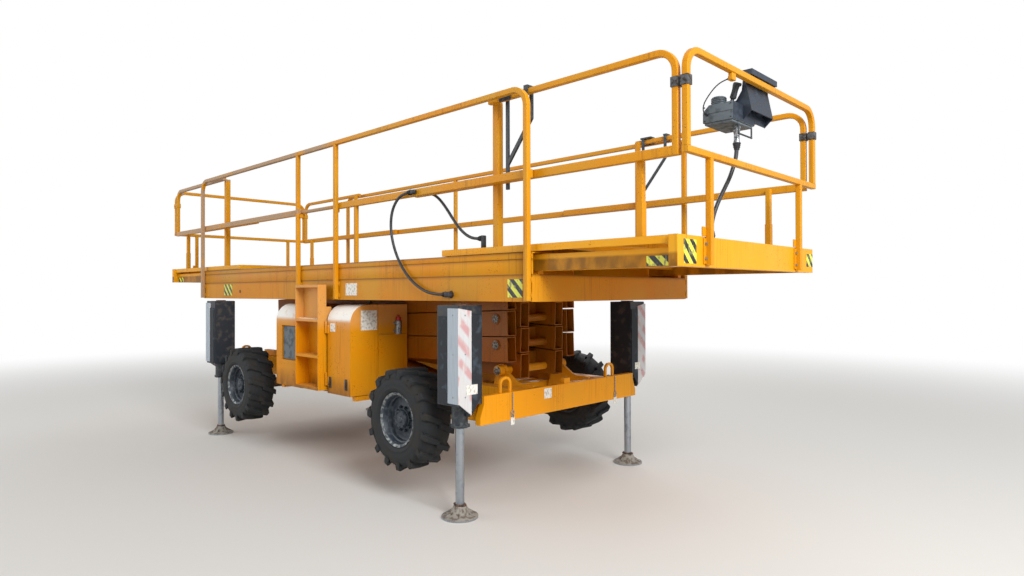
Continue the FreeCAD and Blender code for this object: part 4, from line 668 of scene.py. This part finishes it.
def wheel_pieces(end_name, side_name):
    side = SIDES[side_name]
    middle = (ENDS[end_name] * WHEEL_X, side * WHEEL_Y, AXLE_HEIGHT)
    corner = f"{end_name}_{side_name}"
    body = f"wheel_{corner}"
    bm = bmesh.new()
    lug_verts = []
    for number in range(LUGS):
        for row, slant, phase in ((1, side, 0), (-1, -side, 0.5)):
            lug_verts += lug(bm, row, slant, (number + phase) * 2 * math.pi / LUGS)
    bmesh.ops.recalc_face_normals(bm, faces=bm.faces)
    bevelled(bm, edges_of(lug_verts), 0.004, 1)
    spun(bm, TYRE_SECTION, 90)
    tyre = finished(f"tyre_{corner}_tread", bm, tyre_rubber, body, at=middle)
    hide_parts(f"tyre_{corner}")

    bm = bmesh.new()
    rim = [(0.1285, 0.204), (0.12, 0.198), (0.086, 0.192), (0.08, 0.181), (0.056, 0.175), (0.05, 0.15),
           (0.058, 0.112), (0.06, 0.05), (0.05, 0.05), (0.044, 0.112), (0.036, 0.15), (0.034, 0.184),
           (-0.11, 0.194), (-0.1285, 0.203), (-0.1335, 0.213), (-0.137, 0.223), (-0.134, 0.2262),
           (-0.128, 0.21), (0.128, 0.21), (0.134, 0.2262), (0.1375, 0.223), (0.134, 0.212)]
    spun(bm, rim, 72, side)
    disc = finished(f"rim_{corner}_disc", bm, wheel_enamel, body, at=middle)
    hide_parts(f"rim_{corner}")

    # The planetary hub: a turned drum with a ring of small bolts, inside the ring of wheel nuts on studs.
    bm = bmesh.new()
    drum = [(0.048, 0), (0.048, 0.084), (0.07, 0.084), (0.075, 0.078), (0.098, 0.074), (0.103, 0.069),
            (0.103, 0.06), (0.098, 0.056), (0.099, 0.03), (0.106, 0.026), (0.108, 0.02), (0.108, 0)]
    spun(bm, drum, 48, side, closed=False)
    for count, radius, size, low, high, tips in ((8, 0.066, 0.0075, 0.1, 0.109, False),
                                                 (10, 0.099, 0.0125, 0.056, 0.078, True)):
        for number in range(count):
            angle = 2 * math.pi * number / count
            x, y, z = radius * math.cos(angle), side * (low + high) / 2, radius * math.sin(angle)
            stud(bm, "Y", (x, y, z), size, high - low, sides=6)
            if tips:
                stud(bm, "Y", (x, y + side * 0.014, z), 0.006, 0.014, sides=10)
    finished(f"hub_{corner}", bm, wheel_enamel, body, at=middle)

    # The rim's worn outer lip.
    bm = bmesh.new()
    lip = [(0.1345, 0.2268), (0.1381, 0.2232), (0.1346, 0.2115), (0.129, 0.2036), (0.1262, 0.2022),
           (0.1275, 0.205), (0.1325, 0.213), (0.136, 0.2228)]
    spun(bm, lip, 72, side)
    finished(f"rim_lip_{corner}", bm, worn_lip, body, at=middle)


def jack_pieces(end_name, side_name):
    """The foot's ribbed cone and collar, and the housing's bolted collar, gussets, lid and board screws."""
    end, side = ENDS[end_name], SIDES[side_name]
    middle = (end * JACK_X, side * JACK_Y, 0)
    corner = f"{end_name}_{side_name}"
    body = f"jack_{corner}"

    bm = bmesh.new()
    around_z(bm, [(0.0, 0.0005), (0.1395, 0.0005), (0.14, 0.004), (0.14, 0.0145), (0.1385, 0.0165),
                  (0.0815, 0.032), (0.049, 0.0895), (0.0345, 0.09), (0.034, 0.086)], 48)
    for number in range(6):
        rib = bmesh.ops.create_cube(bm, size=1)["verts"]
        for vert in rib:
            x, low, high = (0.128, 0.016, 0.0205) if vert.co.x > 0 else (0.036, 0.02, 0.082)
            vert.co = (x, vert.co.y * 0.008, low if vert.co.z < 0 else high)
        turn = Matrix.Rotation(math.pi / 3 * number + 0.3, 3, "Z")
        bmesh.ops.rotate(bm, cent=(0, 0, 0), matrix=turn, verts=rib)
    finished(f"foot_cone_{corner}", bm, foot_plate, body, at=middle)

    bm = bmesh.new()
    slab(bm, (-0.052, -0.016, 0.088), (0.052, 0.016, 0.104), 0.003)
    stud(bm, "Z", (0, 0, 0.096), 0.044, 0.014, width=0.002)
    for x in (-0.044, 0.044):
        stud(bm, "Y", (x, 0, 0.096), 0.008, 0.044, sides=6)
    finished(f"foot_collar_{corner}", bm, bare_rust, body, at=middle)

    bm = bmesh.new()
    around_z(bm, [(0.036, 0.684), (0.066, 0.684), (0.068, 0.69), (0.068, 0.706), (0.0622, 0.712)])
    for x in (-0.0495, 0.0495):
        for y in (-0.0495, 0.0495):
            stud(bm, "Z", (x, y, 0.698), 0.008, 0.024, sides=6)
    # Welded gussets run from the guide tube out to the lower tips of the boards.
    slab(bm, (-0.006, -side * 0.105, 0.775), (0.006, -side * 0.055, 0.8615), 0.002)
    slab(bm, (end * 0.055, -0.006, 0.775), (end * 0.115, 0.006, 0.8615), 0.002)
    finished(f"guide_collar_{corner}", bm, guide_enamel, "chassis", at=middle)

    # Rusty lids on the housings, with the stub that the hose goes into.
    bm = bmesh.new()
    slab(bm, (-0.1195, -0.1195, 1.56), (0.1195, 0.1195, 1.6145), 0.004)
    slab(bm, (-0.05, -0.04, 1.614), (0.05, 0.04, 1.624), 0.003)
    finished(f"housing_lid_{corner}", bm, bare_rust, "chassis", at=middle)

    bm = bmesh.new()
    for z in (0.93, 1.25, 1.54):
        stud(bm, "Y", (end * 0.072, side * 0.1312, z), 0.006, 0.003, sides=8)
        stud(bm, "X", (end * 0.1312, side * 0.06, z), 0.006, 0.003, sides=8)
    finished(f"board_screws_{corner}", bm, zinc, "chassis", at=middle)


for build in (wheel_pieces, jack_pieces):
    for end_name in ENDS:
        for side_name in SIDES:
            build(end_name, side_name)


# Hazard plates: thin film on the fascia and on the ends of the extensions.
FILM = 0.0015


def film_plate(name, face, across, up, material, body):
    """A thin plate on a face; face is (axis, place, outward sign), across and up are its spans."""
    axis, place, outward = face
    depth = (place, place + outward * FILM)
    spans = (depth, across, up) if axis == "X" else (across, depth, up)
    bm = bmesh.new()
    slab(bm, *zip(*spans), 0.0004, 1)
    finished(name, bm, material, body)


NEAR_FASCIA, FAR_FASCIA = ("Y", -PLATFORM_SIDE, -1), ("Y", PLATFORM_SIDE, 1)
FRONT_END, REAR_END = ("X", 4.03, 1), ("X", -4.03, -1)
HAZARDS = [
    ("fascia_near_front", NEAR_FASCIA, (2.65, 2.8), (1.673, 1.805), "platform"),
    ("fascia_near_rear", NEAR_FASCIA, (-2.26, -2.03), (1.68, 1.815), "platform"),
    ("fascia_far_front", FAR_FASCIA, (2.65, 2.8), (1.673, 1.805), "platform"),
    ("fascia_far_rear", FAR_FASCIA, (-2.8, -2.65), (1.673, 1.805), "platform"),
    ("end_front_near", FRONT_END, (-0.985, -0.835), (1.88, 2.026), "extension_front"),
    ("end_front_far", FRONT_END, (0.924, 1.05), (1.908, 2.009), "extension_front"),
    ("end_rear_near", REAR_END, (-1.05, -0.924), (1.908, 2.009), "extension_rear"),
    ("end_rear_far", REAR_END, (0.835, 0.985), (1.88, 2.026), "extension_rear"),
]
for end_name, end in ENDS.items():
    for side_name, side in SIDES.items():
        HAZARDS.append((f"channel_{side_name}_{end_name}", ("Y", side * SLIDE_SIDE, side),
                        (end * 3.78, end * 3.965), (1.869, 1.931), f"extension_{end_name}"))
for name, face, across, up, body in HAZARDS:
    film_plate("hazard_" + name, face, across, up, hazard_film, body)

BLANKS = [
    ("fascia_blank", NEAR_FASCIA, (0.5, 0.69), (1.685, 1.8), "platform"),
    ("cabinet_blank", ("X", 0.68, 1), (-1.006, -0.827), (1.356, 1.543), "chassis"),
    ("beam_blank", ("X", BEAM_FACE, 1), (-0.31, -0.215), (0.82, 0.905), "chassis"),
    ("board_tag_near", ("X", 2.33, 1), (-1.17, -1.056), (0.944, 1.018), "chassis"),
    ("board_tag_far", ("X", 2.33, 1), (1.06, 1.15), (0.95, 1.015), "chassis"),
    ("cover_blank", ("Y", -1.12, -1), (0.33, 0.42), (1.34, 1.42), "hood_near"),
]
for name, face, across, up, body in BLANKS:
    film_plate(name, face, across, up, blank_film, body)


# Pins: turned caps with a keeper bolt on each head of the scissor pins.
PIN_X, FREE_X, MIDDLE_X, PIN_Z, RISE = 1.92, -1.9234, -0.0017, 1.03, 0.225
CAPS = {"chassis": [(PIN_X, PIN_Z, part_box("pivot_brackets")[1][1])]}
for stage in (1, 2, 3):
    CAPS[f"arms_outer_{stage}"] = [(MIDDLE_X, PIN_Z + RISE * (stage - 0.5), 0.46)]
    if stage < 3:
        CAPS[f"arms_outer_{stage}"].append((PIN_X, PIN_Z + RISE * stage, 0.46))
        CAPS[f"arms_inner_{stage}"] = [(FREE_X, PIN_Z + RISE * stage, 0.464)]
for body, spots in CAPS.items():
    bm = bmesh.new()
    for x, z, y in spots:
        for side in SIDES.values():
            stud(bm, "Y", (x, side * (y + 0.003), z), 0.038, 0.006, sides=32, width=0.002)
            stud(bm, "Y", (x, side * (y + 0.008), z), 0.013, 0.007, sides=6)
            stud(bm, "Y", (x + 0.022, side * (y + 0.007), z), 0.004, 0.004, sides=10)
    finished(f"pin_caps_{body}", bm, pin_steel, body)


# The end rails' legs: two bolts through each foot plate.
for end_name, end in ENDS.items():
    bm = bmesh.new()
    for side in SIDES.values():
        for z in (1.915, 2.005):
            for y in (0.68, 0.74):
                stud(bm, "X", (end * 4.043, side * y, z), 0.01, 0.01, sides=6)
    finished(f"leg_bolts_{end_name}", bm, zinc, f"extension_{end_name}")


# Cabinets: black latches, the grey canister with its red cap, and the panel seams.
for side_name, places in (("near", (0.33, 0.61)), ("far", (-0.4, 0.56))):
    side = SIDES[side_name]
    bm = bmesh.new()
    for x in places:
        slab(bm, (x - 0.02, side * 1.126, 0.8), (x + 0.02, side * 1.1195, 0.905), 0.003)
        slab(bm, (x - 0.008, side * 1.134, 0.82), (x + 0.008, side * 1.125, 0.88), 0.003)
    finished(f"hood_latches_{side_name}", bm, black_plastic, f"hood_{side_name}")
bm = bmesh.new()
stud(bm, "Z", (0.712, -0.6, 1.375), 0.03, 0.13, sides=32, width=0.006)
stud(bm, "Z", (0.712, -0.6, 1.312), 0.034, 0.01, sides=32, width=0.002)
slab(bm, (0.68, -0.64, 1.33), (0.69, -0.56, 1.35), 0.002)
slab(bm, (0.68, -0.64, 1.405), (0.69, -0.56, 1.425), 0.002)
finished("canister", bm, zinc, "chassis")
bm = bmesh.new()
stud(bm, "Z", (0.712, -0.6, 1.457), 0.026, 0.034, sides=32, width=0.006)
stud(bm, "Z", (0.712, -0.6, 1.482), 0.012, 0.02, sides=16, width=0.003)
finished("canister_cap", bm, red_enamel, "chassis")
bm = bmesh.new()
slab(bm, (0.6795, -0.812, 1.306), (0.6812, -0.478, 1.309))
slab(bm, (0.6795, -0.812, 1.318), (0.6812, -0.64, 1.32))
finished("cabinet_seams", bm, bare_rust, "chassis")


# Controls: a ribbed horn over the round housing, a waisted grip on the lever, a metal gland under the box,
# the dark bracket plate that covers the box's front, and a dark sheet of painted shade that closes the hood's
# inside.
BOX_TOP, BOX_BOTTOM = 2.99, 2.87
bm = bmesh.new()
ribs = [(0.05, 0.0)]
for number in range(5):
    z = 0.004 + number * 0.012
    ribs += [(0.05, z), (0.0525, z + 0.002), (0.0525, z + 0.006), (0.049, z + 0.008)]
ribs += [(0.048, 0.064), (0.04, 0.0685), (0.02, 0.0715), (0.0, 0.072)]
around_z(bm, ribs, 40)
finished("horn_ribs", bm, grey_box, "extension_front", at=(3.85, -0.18, BOX_TOP))
# The box is folded sheet with a sloped edge towards the operator, and the lever leans away from it.
bm = bmesh.new()
slab(bm, (3.7805, -0.2795, BOX_BOTTOM), (3.9995, 0.0495, BOX_TOP), 0.003)
cut = bmesh.ops.bisect_plane(bm, geom=bm.verts[:] + bm.edges[:] + bm.faces[:], clear_outer=True,
                             plane_co=(3.7805, 0, BOX_TOP - 0.046), plane_no=(-0.7, 0, 0.72))
rim = [item for item in cut["geom_cut"] if isinstance(item, bmesh.types.BMEdge)]
bmesh.ops.holes_fill(bm, edges=rim, sides=0)
slab(bm, (3.79, -0.27, BOX_BOTTOM - 0.015), (3.99, 0.04, BOX_BOTTOM + 0.001), 0.003)
box = finished("control_box_shell", bm, grey_box, "extension_front")
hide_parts("control_box")
bm = bmesh.new()
stud(bm, "Y", (3.815, -0.29, 2.925), 0.01, 0.02, sides=20, width=0.002)
for y in (-0.165, 0.035):
    stud(bm, "Z", (3.985, y, 2.8215), 0.006, 0.073, sides=12)
stud(bm, "Y", (3.985, -0.065, 2.79), 0.006, 0.212, sides=12, width=0.002)
finished("box_handle", bm, guide_enamel, "extension_front")
bm = bmesh.new()
around_z(bm, [(0.0, 0.0), (0.032, 0.0), (0.032, 0.004), (0.02, 0.022), (0.013, 0.034), (0.012, 0.044),
              (0.02, 0.049), (0.0225, 0.058), (0.0215, 0.076), (0.0205, 0.096), (0.0212, 0.116),
              (0.024, 0.132), (0.0245, 0.146), (0.022, 0.154), (0.012, 0.158), (0.0, 0.159)])
for z in (0.068, 0.081, 0.094, 0.107):
    slab(bm, (-0.002, -0.027, z), (0.002, -0.018, z + 0.005), 0.001)
slab(bm, (-0.01, -0.026, 0.064), (0.01, -0.018, 0.124), 0.003)
slab(bm, (-0.018, -0.012, 0.134), (0.034, 0.012, 0.156), 0.006)
bmesh.ops.rotate(bm, cent=(0, 0, 0), matrix=Matrix.Rotation(math.radians(17), 3, "Y"), verts=bm.verts)
finished("lever_grip", bm, black_plastic, "extension_front", at=(3.93, -0.165, BOX_TOP - 0.002))
bm = bmesh.new()
stud(bm, "Z", (0, 0, -0.024), 0.027, 0.018, sides=6)
around_z(bm, [(0.0205, -0.033), (0.0225, -0.036), (0.0225, -0.06), (0.0205, -0.063), (0.0205, -0.07),
              (0.0192, -0.073), (0.0192, -0.12), (0.0215, -0.123), (0.0215, -0.132), (0.016, -0.134)])
finished("box_gland", bm, zinc, "extension_front", at=(3.95, -0.12, BOX_BOTTOM))
bm = bmesh.new()
slab(bm, (4.0000, -0.278, 2.874), (4.0022, 0.049, 2.988), 0.0008, 1)
# A dark sheet behind the hood's front: painted shade, standing in for the hood's shaded inside.
slab(bm, (4.0008, 0.045, 2.888), (4.0035, 0.2135, 3.194), 0.0008, 1)
finished("bracket_plate_and_shade_sheet", bm, dark_plastic, "extension_front")
bm = bmesh.new()
for x in (3.795, 3.985):
    for z in (2.884, 2.976):
        stud(bm, "Y", (x, -0.2815, z), 0.005, 0.003, sides=8)
slab(bm, (3.782, -0.2812, 2.929), (3.998, -0.2798, 2.9305))
finished("box_screws", bm, black_plastic, "extension_front")

# The fascia: a drain hole, and the loop cable's outlet on its rusty flange, with the clip it ends in.
bm = bmesh.new()
for x, z, radius in ((-1.807, 1.729, 0.019), (2.03, 1.695, 0.03)):
    stud(bm, "Y", (x, -1.0562, z), radius, 0.0025)
finished("fascia_holes", bm, bare_rust, "platform")
bm = bmesh.new()
slab(bm, (2.002, -1.112, 1.673), (2.056, -1.0555, 1.717), 0.01, 3)
stud(bm, "X", (2.000, -1.085, 1.695), 0.0195, 0.01, sides=20, width=0.002)
slab(bm, (1.552, -1.103, 2.532), (1.598, -1.0605, 2.566), 0.006)
stud(bm, "X", (1.5505, -1.085, 2.549), 0.0165, 0.01, sides=20, width=0.002)
entry = finished("cable_outlets", bm, black_plastic, "platform")
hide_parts("cable_entry")

# Ladder: punched grip strips on the treads.
bm = bmesh.new()
for z in (0.798, 1.108, 1.458):
    for number in range(9):
        x = -0.16 + number * 0.0475
        stud(bm, "Z", (x, -1.165, z + 0.002), 0.011, 0.004, sides=12, tip=0.008)
        if number < 8:
            stud(bm, "Z", (x + 0.024, -1.13, z + 0.002), 0.011, 0.004, sides=12, tip=0.008)
finished("tread_grips", bm, cover_enamel, "chassis")

# End beams: a safety hook and tag hang under each lifting loop, over the beam's face.
for end_name, end in ENDS.items():
    bm = bmesh.new()
    tags = bmesh.new()
    near, far = (end * (BEAM_FACE + gap) for gap in (0.001, 0.009))
    for y in (-0.695, 0.695):
        slab(bm, (near, y - 0.004, 0.77), (far, y + 0.004, 0.915), 0.002)
        for z, radius in ((0.758, 0.016), (0.735, 0.013)):
            centre = Vector((end * (BEAM_FACE + 0.006), y, z))
            ring = bmesh.ops.create_circle(bm, segments=8, radius=0.004)["verts"]
            bmesh.ops.translate(bm, vec=centre + Vector((0, radius, 0)), verts=ring)
            bmesh.ops.spin(bm, geom=ring + edges_of(ring), cent=centre, axis=(1, 0, 0), angle=2 * math.pi,
                           steps=20, use_merge=True)
        slab(tags, (near, y - 0.02, 0.66), (far, y + 0.02, 0.722), 0.003)
    finished(f"safety_hooks_{end_name}", bm, zinc, "chassis")
    finished(f"hook_tags_{end_name}", tags, blank_film, "chassis")


# Stage: a plain pale floor, soft lamps, and white behind all that is seen directly or in a reflection.
def set_stage():
    bm = bmesh.new()
    bmesh.ops.create_grid(bm, x_segments=1, y_segments=1, size=60)
    mesh = bpy.data.meshes.new("floor")
    bm.to_mesh(mesh)
    bm.free()
    placed("floor", mesh)
    paving, tree, shader = started("pale_floor", Base_Color="D6D4D0", Roughness=0.95, Specular_IOR_Level=0.2)
    mesh.materials.append(paving)
    # Far from the machine the camera sees the floor run out into the white backdrop.
    place = add(tree, "TexCoord").outputs["Object"]
    away = add(tree, "VectorMath", {0: place}, operation="LENGTH").outputs["Value"]
    fade = add(tree, "MapRange", {0: away, 1: 6.0, 2: 16.0}, interpolation_type="SMOOTHSTEP")
    seen = add(tree, "LightPath").outputs["Is Camera Ray"]
    white = add(tree, "Emission", {"Color": "FFFFFF", "Strength": 1.0})
    both = add(tree, "MixShader", {0: times(tree, fade, seen), 1: shader, 2: white})
    tree.links.new(both.outputs[0], tree.nodes["Material Output"].inputs["Surface"])
    world = bpy.data.worlds.new("studio")
    scene.world = world
    world.use_nodes = True
    sky = world.node_tree
    background = sky.nodes["Background"]
    background.inputs["Color"].default_value = linear("F4F6F8")
    background.inputs["Strength"].default_value = 0.5
    seen = add(sky, "Background", {"Color": "FFFFFF", "Strength": 1.0})
    ray = add(sky, "LightPath").outputs
    direct = calc(sky, "MAXIMUM", ray["Is Camera Ray"], ray["Is Glossy Ray"])
    direct = calc(sky, "MAXIMUM", direct, ray["Is Transmission Ray"])
    choice = add(sky, "MixShader", {0: direct, 1: background, 2: seen})
    sky.links.new(choice.outputs[0], sky.nodes["World Output"].inputs["Surface"])
    aim = Vector((0, 0, 1.5))
    for name, spot, size, watts in (("key_lamp", (13, -4, 8), 6, 1800), ("fill_lamp", (-7, -10, 5), 8, 420),
                                    ("back_lamp", (-6, 9, 8), 8, 500)):
        lamp = bpy.data.lights.new(name, "AREA")
        lamp.size = size
        lamp.energy = watts
        holder = placed(name, lamp)
        holder.location = spot
        holder.rotation_euler = (aim - Vector(spot)).to_track_quat("-Z", "Y").to_euler()


set_stage()
scene.view_settings.view_transform = "Standard"
